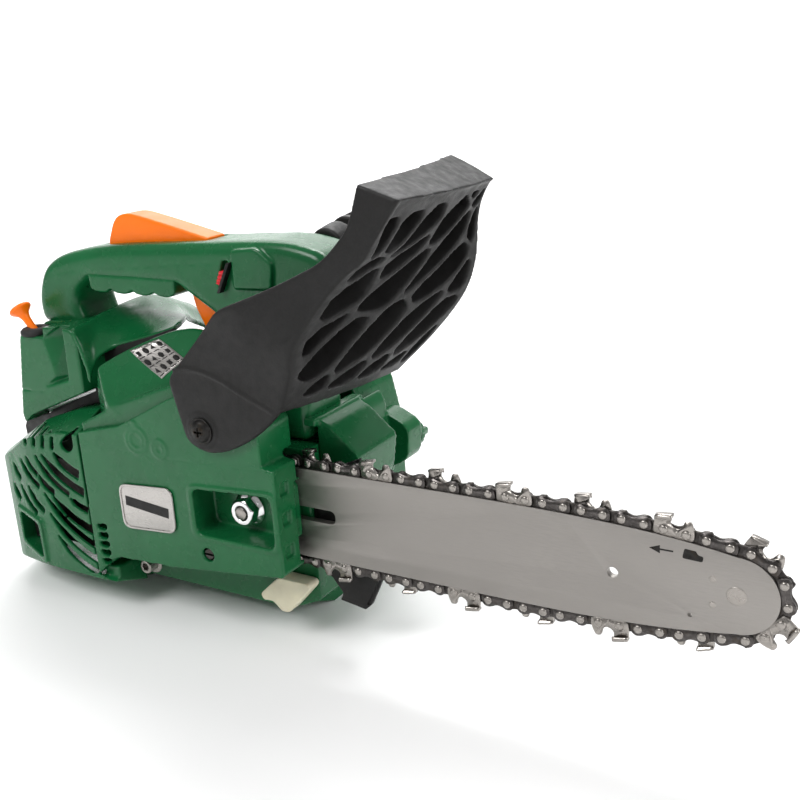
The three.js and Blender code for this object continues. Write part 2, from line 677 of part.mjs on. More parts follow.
function cylinderCover() {
  const side = [
    [-50.9, 37.5], [-50.9, 47], [-53.6, 51, 2], [-50, 60, 6], [-40, 72, 6], [-20, 83, 8], [6, 93.5, 8], [24, 96, 6], [36, 92, 6],
    [40, 72.5],
  ];
  const front = [[-21, 20], [-21, 52, 4], [-13, 76, 5], [0, 92, 5], [8, 97], [8, 20]];
  const shrink = (corners, centre, by) =>
    corners.map(([a, b, r = 0]) => [centre[0] + (a - centre[0]) * by, centre[1] + (b - centre[1]) * by, r * by]);
  const plan = [[-60, 10], [-60, 2], [-48, -6, 5], [-28, -21, 6], [45, -21], [45, 10]];
  const outer = common(plateXZ(side, [-30, 30]), plateYZ(front, [-60, 60]), plateXY(plan, [20, 110]));
  const inner = common(
    plateXZ([...shrink(side.slice(1), [-8, 58], 0.93), [41, 40], [-52, 20]], [-30, 30]),
    plateYZ([[-18.4, 10], [-18.4, 51, 4], [-10.5, 74, 5], [1, 89, 5], [9, 94], [9, 10]], [-49, 37]),
    plateXY([[-56, 11], [-56, 3.5], [-46, -3, 4], [-27, -18.2, 5], [45, -18.2], [45, 11]], [10, 110]));
  return cut(outer, inner);
}
add('cylinder_cover', cylinderCover(), green());

// Arched shroud between the air box and the cylinder cover, under the hand gap.
function engineShroud() {
  const section = (y, curve) => ({ y, points: bandUnder(curve, 3) });
  return loft([
    section(11.5, [[-65.5, 62], [-54, 76], [-34, 84.5], [-6, 95], [4, 98]]),
    section(46, [[-65.5, 92], [-56, 95], [-40, 96], [-22, 94.5], [-12, 86]]),
    section(76, [[-65.5, 92], [-58, 94], [-46, 94], [-34, 90], [-26, 80]]),
    section(90, [[-65.5, 80], [-58, 82], [-48, 82], [-36, 80], [-28, 72]]),
  ]);
}
add('engine_shroud', engineShroud(), green());

// ---- Handles ------------------------------------------------------------------------

const gripUnderZ = 109;
const parting = 117; // between the handle and the separate lower half of its grip

function topHandle() {
  const side = [
    [-123, 92.8], [-124, 106, 14], [-108, 131, 22], [-52, 139, 20], [81, 144, 6], [108, 138, 6], [113, 119, 6],
    [106, 106], [90, 90], [88, deckZ + gap], [52, deckZ + gap], [52, 70, 12], [36, 98, 6], [18, gripUnderZ, 2], [4, parting],
    [-64, parting], [-80, 106, 10], [-84, 92.8],
  ];
  return cut(
    plateXZ(side, handleY),
    block([-54, 25], [21, 39], [123.5, 150]), // slot of the throttle lockout
    block([2, 32], [24, 36], [90, 128]), // slot of the trigger
    block([37.5, 47.5], [handleY[0] - 1, 17], [116, 134]), // pocket of the stop switch
  );
}
add('top_handle', topHandle(), green());

// Lower half of the grip, scalloped for four fingers.
function gripLower() {
  const grip = new THREE.Shape();
  grip.moveTo(-63, parting - gap);
  grip.lineTo(3.4, parting - gap);
  grip.lineTo(3.4, gripUnderZ);
  const finger = 16.6;
  for (let i = 0; i < 4; i += 1) {
    const x = 3.4 - finger * i;
    grip.quadraticCurveTo(x - finger / 2, gripUnderZ + 6, x - finger, gripUnderZ);
  }
  return plateXZ(grip, [handleY[0] + 1, handleY[1] - 1], 4);
}
add('handle_grip', gripLower(), green());

add('throttle_lockout', plateXZ([
  [20, 133, 1], [24, 142, 1], [-8, 150, 30], [-34, 154.5, 5], [-44, 153, 5], [-51.5, 139, 1], [-52, 133, 1],
], [22, 38]), orange());

add('throttle_trigger', plateXZ([
  [4, 112, 1], [6, 102, 2], [12, 90, 2], [16, 90.4, 1], [26, 98, 6], [30, 110, 4], [30, 120, 2], [12, 121, 2],
], [25, 35]), orange());

add('stop_switch', plateXZ([[38.5, 118, 1], [43.5, 118, 1], [46.5, 128, 1], [41, 128, 1]], [9.5, 16.4]), red());

// Tubular side handle: out of the top handle to the starter side, and down to the base.
function sideHandle() {
  const route = new THREE.CatmullRomCurve3([
    [84, handleY[1], 134], [82, 66, 136], [74, 96, 136], [58, 126, 124], [44, 139, 98], [40, 141, 60], [40, 141, 10],
    [42, 136, -20], [46, 118, -40], [48, 98, -50],
  ].map(([x, y, z]) => new THREE.Vector3(x, y, z)));
  const tube = new THREE.Shape().absarc(0, 0, 11, 0, 2 * Math.PI, false);
  return cut(
    new THREE.ExtrudeGeometry(tube, { steps: 24, curveSegments: 5, extrudePath: route, bevelEnabled: false }),
    block([20, 90], [60, starterY[1] + gap], [-90, -10]),
    block([60, 110], [30, handleY[1] + gap], [100, 160]),
  );
}
add('side_handle', sideHandle(), black());

// ---- Hand guard ---------------------------------------------------------------------

const guardArmY = [coverFaceY - 4, coverFaceY - 0.5];

function handGuard() {
  const arm = [
    [50, 38, 6], [38, 44, 4], [30, 77, 3], [71, 117, 5], [104, 129], [134, 143, 6], [150, 158, 6], [157, 179],
    [178, 171, 2], [168, 160, 6], [158, 145], [145, 136], [130, 121], [115, 101], [110, 85], [101, 66, 4], [86, 54],
    [64, 40, 6],
  ];
  // The shield's front and back lines, from its lower edge to its lip.
  const near = [[102, 66], [111, 85], [118, 101], [131, 121], [146, 136], [159, 147], [170, 166], [179, 171],
    [176, 174], [157, 179], [150, 160], [134, 143], [116, 128], [103, 112], [97, 95], [92, 70]];
  const far = [[108, 60], [134, 84], [153, 107], [160, 120], [163, 132], [164, 147], [172, 166], [174, 168],
    [171, 174], [150, 182], [147, 164], [146, 150], [144, 134], [137, 118], [118, 96], [100, 68]];
  const middle = near.map(([x, z], i) => [(x + far[i][0]) / 2 + 1, (z + far[i][1]) / 2]);
  return cut(
    join(
      plateXZ(arm, guardArmY),
      loft([
        { y: guardArmY[0] + 1, points: near },
        { y: 24, points: middle },
        { y: 76, points: far },
      ]),
    ),
    rodY(guardPivot, 3.4, [-40, -20], 16),
  );
}
add('hand_guard', handGuard(), black());
add('guard_screw', join(
  turned([[0, guardArmY[0] - 3.4], [4.4, guardArmY[0] - 3], [6.2, guardArmY[0] - 1.2], [6.2, guardArmY[0] - gap],
    [0, guardArmY[0] - gap]], 20).translate(guardPivot[0], 0, guardPivot[1]),
  rodY(guardPivot, 3, [guardArmY[0] - 1, coverFaceY - gap], 16),
), black());

export default saw;
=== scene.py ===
import json
import math
import random

import bmesh
import bpy
from mathutils import Matrix, Vector

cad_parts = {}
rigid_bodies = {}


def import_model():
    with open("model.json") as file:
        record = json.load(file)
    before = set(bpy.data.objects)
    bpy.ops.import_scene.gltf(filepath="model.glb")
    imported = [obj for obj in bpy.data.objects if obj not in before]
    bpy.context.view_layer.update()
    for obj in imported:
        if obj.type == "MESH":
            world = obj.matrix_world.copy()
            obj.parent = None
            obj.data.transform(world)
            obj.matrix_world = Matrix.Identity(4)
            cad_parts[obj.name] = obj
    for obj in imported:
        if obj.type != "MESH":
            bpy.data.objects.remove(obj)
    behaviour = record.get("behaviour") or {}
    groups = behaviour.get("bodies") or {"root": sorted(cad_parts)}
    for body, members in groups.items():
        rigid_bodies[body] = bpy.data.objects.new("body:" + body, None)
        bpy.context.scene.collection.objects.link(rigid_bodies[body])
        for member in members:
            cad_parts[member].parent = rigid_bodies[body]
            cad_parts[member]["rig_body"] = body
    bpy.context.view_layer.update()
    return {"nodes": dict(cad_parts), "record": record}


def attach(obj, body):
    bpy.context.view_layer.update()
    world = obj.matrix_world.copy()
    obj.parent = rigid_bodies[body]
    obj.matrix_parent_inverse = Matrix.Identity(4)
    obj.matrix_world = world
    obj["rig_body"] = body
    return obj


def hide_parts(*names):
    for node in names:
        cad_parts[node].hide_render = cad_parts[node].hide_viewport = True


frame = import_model()

# Everything below is drawn in millimetres about the crankshaft's axis (X = 0, Z = 0) and the
# guide bar's middle plane (Y = 0), +X towards the bar's nose; place() turns that into metres
# in the frame of the CAD model.
MM = 0.001
STAND_HEIGHT = 80  # crank axis above the floor
MOST_TRIANGLES = 180_000  # in any one piece
BASE_MIDDLE_Y = 50  # from the guide bar's middle plane to the frame's origin

CHAIN_PITCH = 9.525
DRIVE_TEETH = 6
NOSE_TEETH = 7
RIVETS = 80
STRAP_SPAN = 10.24  # between the two rivets of a strap; a drive link's are closer
STRAP_REACH = 3  # from a rivet's centre down to the bar's rail
FIRST_RIVET_X = 95.5
BAR_NOSE_X = 320
BAR_BELLY_X = 157
BAR_HALF = 25.8
BAR_TAIL_X = 52
SHOULDER_X = 70
COVER_FACE_Y = -25  # the clutch cover's right face
STUD_X = 59
GUARD_PIVOT = (50, 51)
GUARD_ARM_Y = (-29, -25.5)


def place(x, y, z):
    return Vector((x * MM, (y - BASE_MIDDLE_Y) * MM, (z + STAND_HEIGHT) * MM))


# ---- Mesh helpers ------------------------------------------------------------------------


def new_piece(name, points, faces):
    mesh = bpy.data.meshes.new(name)
    mesh.from_pydata([place(*p) for p in points], [], faces)
    piece = bpy.data.objects.new(name, mesh)
    bpy.context.scene.collection.objects.link(piece)
    face_outwards(piece)
    return piece


def face_outwards(piece):
    work = bmesh.new()
    work.from_mesh(piece.data)
    bmesh.ops.recalc_face_normals(work, faces=work.faces)
    work.to_mesh(piece.data)
    work.free()


def apply_modifiers(piece):
    evaluated = piece.evaluated_get(bpy.context.evaluated_depsgraph_get())
    mesh = bpy.data.meshes.new_from_object(evaluated)
    piece.modifiers.clear()
    piece.data = mesh
    return piece


def remove(piece):
    bpy.data.objects.remove(piece)


def combined(piece, operation, tools):
    """piece after a boolean with each tool; the tools are used up."""
    for tool in tools:
        modifier = piece.modifiers.new(operation, "BOOLEAN")
        modifier.operation = operation
        modifier.solver = "MANIFOLD"
        modifier.object = tool
    apply_modifiers(piece)
    for tool in tools:
        remove(tool)
    return piece


def cut(piece, *tools):
    return combined(piece, "DIFFERENCE", tools)


def join(piece, *tools):
    return combined(piece, "UNION", tools)


def common(piece, *tools):
    return combined(piece, "INTERSECT", tools)


def smooth_shaded(piece, angle=None):
    for polygon in piece.data.polygons:
        polygon.use_smooth = True
    if angle is not None:
        with bpy.context.temp_override(object=piece, active_object=piece, selected_objects=[piece]):
            bpy.ops.object.shade_smooth_by_angle(angle=math.radians(angle))
    return piece


def moulded(piece, voxel=0.8, rounds=4):
    """Turns a sharp solid into one skin with soft edges, as moulded plastic and castings have."""
    remesh = piece.modifiers.new("skin", "REMESH")
    remesh.mode = "VOXEL"
    remesh.voxel_size = voxel * MM
    soften = piece.modifiers.new("soften", "SMOOTH")
    soften.factor = 0.5
    soften.iterations = rounds
    apply_modifiers(piece)
    share = MOST_TRIANGLES / (2 * len(piece.data.polygons))
    if share < 1:
        thin = piece.modifiers.new("thin", "DECIMATE")
        thin.ratio = share
        apply_modifiers(piece)
    return smooth_shaded(piece)


def add_bevel(piece, width, segments, angle):
    bevel = piece.modifiers.new("edges", "BEVEL")
    bevel.width = width * MM
    bevel.segments = segments
    bevel.limit_method = "ANGLE"
    bevel.angle_limit = math.radians(angle)
    bevel.use_clamp_overlap = True


def rounded_edges(piece, width=0.6, segments=3, angle=30):
    """Rolls the sharp edges of a clean solid over a radius."""
    add_bevel(piece, width, segments, angle)
    return smooth_shaded(apply_modifiers(piece), angle)


def cad_copy(node):
    piece = bpy.data.objects.new(node + "_body", frame["nodes"][node].data.copy())
    bpy.context.scene.collection.objects.link(piece)
    piece.data.materials.clear()
    work = bmesh.new()
    work.from_mesh(piece.data)
    bmesh.ops.remove_doubles(work, verts=work.verts, dist=1e-6)
    work.to_mesh(piece.data)
    work.free()
    return piece


# ---- Outlines and solids -----------------------------------------------------------------


def outline(corners, steps=6):
    """Points round a closed outline; a corner (a, b, r) is rounded off over the length r."""
    points = []
    for i, corner in enumerate(corners):
        here = Vector(corner[:2])
        reach = corner[2] if len(corner) > 2 else 0
        if not reach:
            points.append(here)
            continue
        ends = []
        for other in (corners[i - 1], corners[(i + 1) % len(corners)]):
            side = Vector(other[:2]) - here
            ends.append(here + side * min(reach / side.length, 0.48))
        for k in range(steps + 1):
            t = k / steps
            points.append(ends[0] * (1 - t) ** 2 + here * 2 * t * (1 - t) + ends[1] * t * t)
    return [tuple(p) for p in points]


def plate(corners, low, high, axis="Y", name="tool", steps=6):
    """A flat plate: its outline is drawn in the two directions across axis."""
    flat = outline(corners, steps)
    place_point = {
        "X": lambda a, b, h: (h, a, b),
        "Y": lambda a, b, h: (a, h, b),
        "Z": lambda a, b, h: (a, b, h),
    }[axis]
    count = len(flat)
    points = [place_point(a, b, h) for h in (low, high) for a, b in flat]
    faces = [tuple(range(count)), tuple(range(count, 2 * count))]
    faces += [(i, (i + 1) % count, (i + 1) % count + count, i + count) for i in range(count)]
    return new_piece(name, points, faces)


def block(x, y, z, name="tool"):
    corners = [(x[0], z[0]), (x[1], z[0]), (x[1], z[1]), (x[0], z[1])]
    return plate(corners, y[0], y[1], name=name)


def turned(profile, foot, direction=(0, 1, 0), segments=48, name="tool"):
    """A turned piece: (radius, height) pairs from the axis back to the axis, or a closed ring."""
    axis = Vector(direction).normalized()
    across = axis.orthogonal().normalized()
    third = axis.cross(across)
    rings = []
    points = []
    for radius, height in profile:
        centre = Vector(foot) + axis * height
        if radius == 0:
            rings.append([len(points)] * segments)
            points.append(tuple(centre))
            continue
        rings.append(list(range(len(points), len(points) + segments)))
        for i in range(segments):
            angle = 2 * math.pi * i / segments
            outwards = across * math.cos(angle) + third * math.sin(angle)
            points.append(tuple(centre + radius * outwards))
    is_ring = profile[0][0] != 0
    faces = []
    for i in range(len(rings) if is_ring else len(rings) - 1):
        lower, upper = rings[i], rings[(i + 1) % len(rings)]
        for k in range(segments):
            corner = [lower[k], lower[(k + 1) % segments], upper[(k + 1) % segments], upper[k]]
            corner = list(dict.fromkeys(corner))
            if len(corner) > 2:
                faces.append(corner)
    return new_piece(name, points, faces)


def rod(x, z, radius, low, high, segments=48, name="tool"):
    profile = [(0, low), (radius, low), (radius, high), (0, high)]
    return turned(profile, (x, 0, z), segments=segments, name=name)


def ring_faces(rings, count, first=0):
    """Side faces and both ends of a solid through rings of count points, from point first on."""
    faces = []
    for r in range(rings - 1):
        for i in range(count):
            a, b = first + r * count + i, first + r * count + (i + 1) % count
            faces.append((a, b, b + count, a + count))
    last = first + (rings - 1) * count
    return faces + [tuple(range(first, first + count)), tuple(range(last, last + count))]


def loft(rings, name="tool"):
    """A closed solid through rings of points with the same count."""
    return new_piece(name, [p for ring in rings for p in ring], ring_faces(len(rings), len(rings[0])))


def spline(knots, steps):
    """Points along a smooth curve through knots."""
    vectors = [Vector(k) for k in knots]
    ends = [vectors[0] * 2 - vectors[1]] + vectors + [vectors[-1] * 2 - vectors[-2]]
    points = []
    for i in range(1, len(ends) - 2):
        a, b, c, d = ends[i - 1 : i + 3]
        for k in range(steps):
            t = k / steps
            bend = (2 * a - 5 * b + 4 * c - d) * t**2 + (3 * b - a - 3 * c + d) * t**3
            points.append(0.5 * (2 * b + (c - a) * t + bend))
    points.append(vectors[-1])
    return points


def swept(knots, section, steps=6, name="tool"):
    """A solid whose closed section, (out, up) pairs, follows a smooth curve."""
    path = spline(knots, steps)
    rings = []
    for i, point in enumerate(path):
        along = (path[min(i + 1, len(path) - 1)] - path[max(i - 1, 0)]).normalized()
        side = along.cross(Vector((0, 1, 0)) if abs(along.y) < 0.9 else Vector((0, 0, 1))).normalized()
        up = side.cross(along)
        rings.append([tuple(point + side * a + up * b) for a, b in section])
    return loft(rings, name)


def oval(wide, tall, segments=8):
    """Closed section with these half-axes."""
    turn = 2 * math.pi / segments
    return [(wide * math.cos(turn * i), tall * math.sin(turn * i)) for i in range(segments)]


def hexagon(x, z, radius, turn=0.0):
    """Corners round (x, z); turn is in half turns."""
    angles = [math.pi * (i / 3 + turn) for i in range(6)]
    return [(x + radius * math.cos(a), z + radius * math.sin(a)) for a in angles]


# ---- Materials ---------------------------------------------------------------------------


class Finish:
    """A node material on the object's own coordinates, around one Principled shader."""

    def __init__(self, name, **sockets):
        self.material = bpy.data.materials.new(name)
        self.material.use_nodes = True
        self.nodes = self.material.node_tree.nodes
        self.links = self.material.node_tree.links
        self.shader = self.nodes["Principled BSDF"]
        for socket, value in sockets.items():
            self.shader.inputs[socket.replace("_", " ")].default_value = value
        self.where = self.nodes.new("ShaderNodeTexCoord").outputs["Object"]
        self.normal = None

    def add(self, kind, **settings):
        node = self.nodes.new(kind)
        for key, value in settings.items():
            setattr(node, key, value)
        return node

    def stretched(self, scale):
        mapping = self.add("ShaderNodeMapping")
        mapping.inputs["Scale"].default_value = scale
        self.links.new(self.where, mapping.inputs["Vector"])
        return mapping.outputs["Vector"]

    def noise(self, size_mm, detail=2.0, roughness=0.5, stretch=None):
        """Noise whose features are about size_mm across."""
        node = self.add("ShaderNodeTexNoise")
        node.inputs["Scale"].default_value = 1000 / size_mm
        node.inputs["Detail"].default_value = detail
        node.inputs["Roughness"].default_value = roughness
        self.links.new(self.stretched(stretch) if stretch else self.where, node.inputs["Vector"])
        return node.outputs["Fac"]

    def ramp(self, source, stops):
        """Colours by value: (position, colour) pairs."""
        node = self.add("ShaderNodeValToRGB")
        elements = node.color_ramp.elements
        while len(elements) < len(stops):
            elements.new(0.5)
        for element, (position, colour) in zip(elements, stops):
            element.position = position
            element.color = (*colour, 1) if isinstance(colour, tuple) else (colour, colour, colour, 1)
        self.links.new(source, node.inputs["Fac"])
        return node.outputs["Color"]

    def mixed(self, factor, first, second):
        """Two colours, each a number, a tuple or a socket, mixed by factor."""
        node = self.add("ShaderNodeMix", data_type="RGBA")
        sockets = (node.inputs["Factor"], node.inputs[6], node.inputs[7])
        for socket, value in zip(sockets, (factor, first, second)):
            if isinstance(value, (int, float)):
                socket.default_value = value
            elif isinstance(value, tuple):
                socket.default_value = (*value, 1)
            else:
                self.links.new(value, socket)
        return node.outputs[2]

    def between(self, source, low, high):
        """Blends from low to high over the middle of a noise's range."""
        return self.ramp(source, [(0.3, low), (0.7, high)])

    def colour(self, source):
        self.links.new(source, self.shader.inputs["Base Color"])
        return self

    def rough(self, source, low, high):
        node = self.add("ShaderNodeMapRange")
        node.inputs["From Min"].default_value = 0.3
        node.inputs["From Max"].default_value = 0.7
        node.inputs["To Min"].default_value = low
        node.inputs["To Max"].default_value = high
        self.links.new(source, node.inputs["Value"])
        self.links.new(node.outputs["Result"], self.shader.inputs["Roughness"])
        return self

    def bump(self, source, height_mm, strength=1.0):
        node = self.add("ShaderNodeBump")
        node.inputs["Strength"].default_value = strength
        node.inputs["Distance"].default_value = height_mm * MM
        self.links.new(source, node.inputs["Height"])
        if self.normal is not None:
            self.links.new(self.normal, node.inputs["Normal"])
        self.normal = node.outputs["Normal"]
        self.links.new(self.normal, self.shader.inputs["Normal"])
        return self


def shades(colour, dark, light):
    return (tuple(c * dark for c in colour), tuple(min(c * light, 1.0) for c in colour))


def gloss_plastic(name, colour, roughness=(0.22, 0.3), waviness=0.05):
    """Smooth injection-moulded plastic: faint flow marks, fine mottling and orange peel."""
    finish = Finish(name, Specular_IOR_Level=0.32)
    low, high = shades(colour, 0.86, 1.1)
    flow = finish.noise(38, 3, 0.6)
    body = finish.between(flow, low, high)
    specks = finish.ramp(finish.noise(0.9, 2, 0.6), [(0.3, low), (0.45, high)])
    finish.colour(finish.mixed(0.18, body, specks))
    finish.rough(finish.noise(9, 4), *roughness)
    finish.bump(finish.noise(16, 1), waviness)
    finish.bump(finish.noise(1.1, 1), 0.012)
    return finish.material


def grained_plastic(name, colour, grain_mm=1.3, depth=0.11, roughness=(0.42, 0.6)):
    """Matt plastic with a spark-eroded grain."""
    finish = Finish(name, Specular_IOR_Level=0.25)
    low, high = shades(colour, 0.75, 1.3)
    grain = finish.noise(grain_mm, 3, 0.7)
    finish.colour(finish.mixed(finish.noise(30, 2), finish.ramp(grain, [(0.35, low), (0.65, high)]), high))
    finish.rough(finish.noise(5, 3), *roughness)
    finish.bump(grain, depth)
    return finish.material


def rubber(name, colour):
    finish = Finish(name, Specular_IOR_Level=0.35)
    low, high = shades(colour, 0.7, 1.5)
    finish.colour(finish.between(finish.noise(6, 4), low, high))
    finish.rough(finish.noise(3, 3), 0.6, 0.8)
    finish.bump(finish.noise(0.8, 2), 0.05)
    return finish.material


def brushed_metal(name, colour, roughness, grain=(1, 1, 1), line_mm=0.5, depth=0.02):
    """Ground metal whose scratches run along the direction that grain squeezes."""
    finish = Finish(name, Metallic=1.0)
    low, high = shades(colour, 0.86, 1.08)
    lines = finish.noise(line_mm, 3, 0.6, grain)
    clouds = finish.noise(42, 3, 0.6)
    finish.colour(finish.mixed(clouds, finish.between(lines, low, high), low))
    finish.rough(lines, *roughness)
    finish.bump(lines, depth)
    return finish.material


def oiled_metal(name, colour, roughness, spot=(0.05, 0.035, 0.02)):
    """Machined or blued steel with an uneven film of oil and a few darker spots."""
    finish = Finish(name, Metallic=1.0)
    low, high = shades(colour, 0.7, 1.25)
    stains = finish.noise(5, 4, 0.65)
    body = finish.between(finish.noise(2.2, 3), low, high)
    finish.colour(finish.mixed(finish.ramp(stains, [(0.55, 0.0), (0.72, 0.6)]), body, spot))
    finish.rough(stains, *roughness)
    finish.bump(finish.noise(0.7, 2), 0.02)
    return finish.material


def cast_metal(name, colour):
    finish = Finish(name, Metallic=0.85)
    low, high = shades(colour, 0.75, 1.15)
    skin = finish.noise(1.4, 4, 0.65)
    finish.colour(finish.mixed(finish.noise(18, 3), finish.between(skin, low, high), low))
    finish.rough(finish.noise(4, 3), 0.45, 0.7)
    finish.bump(skin, 0.12)
    return finish.material


def foam(name, colour):
    finish = Finish(name, Specular_IOR_Level=0.2)
    cells = finish.add("ShaderNodeTexVoronoi")
    cells.inputs["Scale"].default_value = 700
    finish.links.new(finish.where, cells.inputs["Vector"])
    low, high = shades(colour, 0.3, 1.6)
    # Painted shade: the colour darkens towards each cell's middle, where the bump dips, so every pore looks
    # shaded.
    finish.colour(finish.ramp(cells.outputs["Distance"], [(0.1, low), (0.6, high)]))
    finish.rough(finish.noise(3, 2), 0.8, 0.95)
    finish.bump(cells.outputs["Distance"], 0.6)
    return finish.material


def milky_nylon(name, colour):
    finish = Finish(
        name, Subsurface_Weight=0.25, Subsurface_Radius=(0.004, 0.003, 0.002), Specular_IOR_Level=0.45
    )
    low, high = shades(colour, 0.88, 1.06)
    finish.colour(finish.between(finish.noise(11, 3), low, high))
    finish.rough(finish.noise(4, 3), 0.3, 0.45)
    finish.bump(finish.noise(3, 3), 0.08)
    return finish.material


# How each material is made: its finish and that finish's settings, the colour first.
RECIPES = {
    "green_plastic": (gloss_plastic, (0.005, 0.1, 0.03)),
    "orange_plastic": (gloss_plastic, (1.0, 0.17, 0.0), (0.3, 0.4), 0.03),
    "red_plastic": (gloss_plastic, (0.62, 0.012, 0.02), (0.3, 0.4), 0.03),
    "black_plastic": (grained_plastic, (0.0085, 0.0082, 0.008)),
    "black_rubber": (rubber, (0.012, 0.012, 0.012)),
    "nylon": (milky_nylon, (0.66, 0.62, 0.46)),
    "bar_steel": (brushed_metal, (0.36, 0.34, 0.32), (0.44, 0.58), (0.12, 1, 1), 0.6),
    "chain_steel": (oiled_metal, (0.085, 0.078, 0.075), (0.24, 0.42)),
    "bright_steel": (brushed_metal, (0.36, 0.335, 0.31), (0.24, 0.36), (1, 1, 1), 2.2, 0.008),
    "dark_steel": (oiled_metal, (0.06, 0.055, 0.052), (0.3, 0.5)),
    "black_steel": (oiled_metal, (0.03, 0.029, 0.028), (0.36, 0.5)),
    "chrome": (brushed_metal, (0.78, 0.78, 0.78), (0.07, 0.16), (1, 1, 1), 3, 0.01),
    "badge_aluminium": (brushed_metal, (0.47, 0.45, 0.43), (0.24, 0.36), (0.06, 1, 1), 0.35, 0.015),
    "cast_aluminium": (cast_metal, (0.42, 0.42, 0.43)),
    "filter_foam": (foam, (0.045, 0.044, 0.04)),
}
materials = {name: make(name, *settings) for name, (make, *settings) in RECIPES.items()}
slot_of = {part["node"]: part["material_slot"] for part in frame["record"]["subparts"]}
body_of = {node: obj["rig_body"] for node, obj in frame["nodes"].items()}


def finish_piece(piece, node, *others, slot=None):
    """piece stands for a CAD node, rides on its body and wears its slot's material."""
    piece.name = node + "_shown"
    dress(piece, slot or slot_of[node], body_of[node])
    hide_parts(node, *others)
    return piece


def dress(piece, slot, body):
    """An extra piece with a slot's material on a body."""
    piece.data.materials.clear()
    piece.data.materials.append(materials[slot])
    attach(piece, body)
    return piece


# ---- CAD pieces that keep their shape ----------------------------------------------------


def dress_cad_pieces():
    """Materials and slightly rolled edges; the pieces below replace most of these nodes."""
    for node, obj in frame["nodes"].items():
        obj.data.materials.clear()
        obj.data.materials.append(materials[slot_of[node]])
        add_bevel(obj, 0.35, 2, 35)
        smooth_shaded(obj, 35)


# ---- Guide bar and chain -----------------------------------------------------------------


def rivet_radius(teeth):
    """A tooth carries two rivets, so the circle is that of twice its teeth."""
    return CHAIN_PITCH / (2 * math.sin(math.pi / (2 * teeth)))


NOSE_RADIUS = rivet_radius(NOSE_TEETH)
DRIVE_RADIUS = rivet_radius(DRIVE_TEETH)
RAIL_HALF = BAR_HALF + STRAP_REACH


def rivet_height(x):
    """Height of the rivets' path over the bar's middle."""
    if x < BAR_BELLY_X:
        return RAIL_HALF
    t = (BAR_NOSE_X - x) / (BAR_NOSE_X - BAR_BELLY_X)
    return NOSE_RADIUS + (RAIL_HALF - NOSE_RADIUS) * (1 - (1 - t) ** 4)


def chain_path():
    """The closed path of the rivets as (x, z) points, from the drive sprocket over the bar."""
    reach = math.hypot(SHOULDER_X, RAIL_HALF)
    slope = math.acos(DRIVE_RADIUS / reach) - math.atan2(SHOULDER_X, RAIL_HALF)

    def arc(cx, radius, start, end, steps):
        turns = [start + (end - start) * i / steps for i in range(steps + 1)]
        return [(cx + radius * math.cos(a), radius * math.sin(a)) for a in turns]

    steps = 60
    upper = [(SHOULDER_X, RAIL_HALF)]
    upper += [
        (x, rivet_height(x))
        for x in (BAR_BELLY_X + (BAR_NOSE_X - BAR_BELLY_X) * i / steps for i in range(steps))
    ]
    lower = [(x, -z) for x, z in reversed(upper)]
    return (
        arc(0, DRIVE_RADIUS, 1.5 * math.pi - slope, 0.5 * math.pi + slope, 40)
        + upper
        + arc(BAR_NOSE_X, NOSE_RADIUS, 0.5 * math.pi, -0.5 * math.pi, 50)
        + lower
    )


def rivet_places():
    """Where the rivets are; the even ones start a strap, and number 0 is on the upper run."""
    path = chain_path()
    path.append(path[0])
    lengths = [0]
    for a, b in zip(path, path[1:]):
        lengths.append(lengths[-1] + math.dist(a, b))
    total = lengths[-1]
    stretch = total / (RIVETS * CHAIN_PITCH)
    on_top = next(i for i, (x, z) in enumerate(path) if x == SHOULDER_X and z > 0)
    start = lengths[on_top] + (FIRST_RIVET_X - SHOULDER_X)

    def at(distance):
        distance %= total
        i = next(k for k in range(len(lengths) - 1) if lengths[k + 1] >= distance)
        t = (distance - lengths[i]) / max(lengths[i + 1] - lengths[i], 1e-9)
        return Vector(path[i]).lerp(Vector(path[i + 1]), t)

    spans = (STRAP_SPAN * stretch, (2 * CHAIN_PITCH - STRAP_SPAN) * stretch)
    places = []
    distance = start
    for i in range(RIVETS):
        places.append(at(distance))
        distance += spans[i % 2]
    return places


class Heap:
    """Collects many small solids into one mesh."""

    def __init__(self):
        self.points = []
        self.faces = []

    def add_plate(self, flat, low, high, to_space, chamfer=0.18):
        """A plate with chamfered rims; to_space turns (a, h, y) into a point."""
        count = len(flat)
        middle = (sum(p[0] for p in flat) / count, sum(p[1] for p in flat) / count)

        def ring(y, inset):
            made = []
            for a, h in flat:
                share = inset / max(math.dist((a, h), middle), 1e-6)
                made.append(to_space(a + (middle[0] - a) * share, h + (middle[1] - h) * share, y))
            return made

        rings = [ring(low, chamfer), ring(low + chamfer, 0), ring(high - chamfer, 0), ring(high, chamfer)]
        self.add_rings(rings)

    def add_rings(self, rings):
        self.faces += ring_faces(len(rings), len(rings[0]), len(self.points))
        for points in rings:
            self.points += points

    def add_dome(self, x, z, side, profile, segments):
        """A rivet's head on one side; profile lists (radius, distance from the bar's middle)."""
        self.add_rings([[(x + a, side * y, z + h) for a, h in oval(r, r, segments)] for r, y in profile])

    def piece(self, name):
        return new_piece(name, self.points, self.faces)


def link_frame(rear, front):
    """(a, h) of a link, along it from its rear rivet and outwards from the bar, to space."""
    forward = (front - rear).normalized()
    outward = Vector((-forward.y, forward.x))

    def to_space(a, h, y):
        point = rear + forward * a + outward * h
        return (point.x, y, point.y)

    return to_space, (front - rear).length


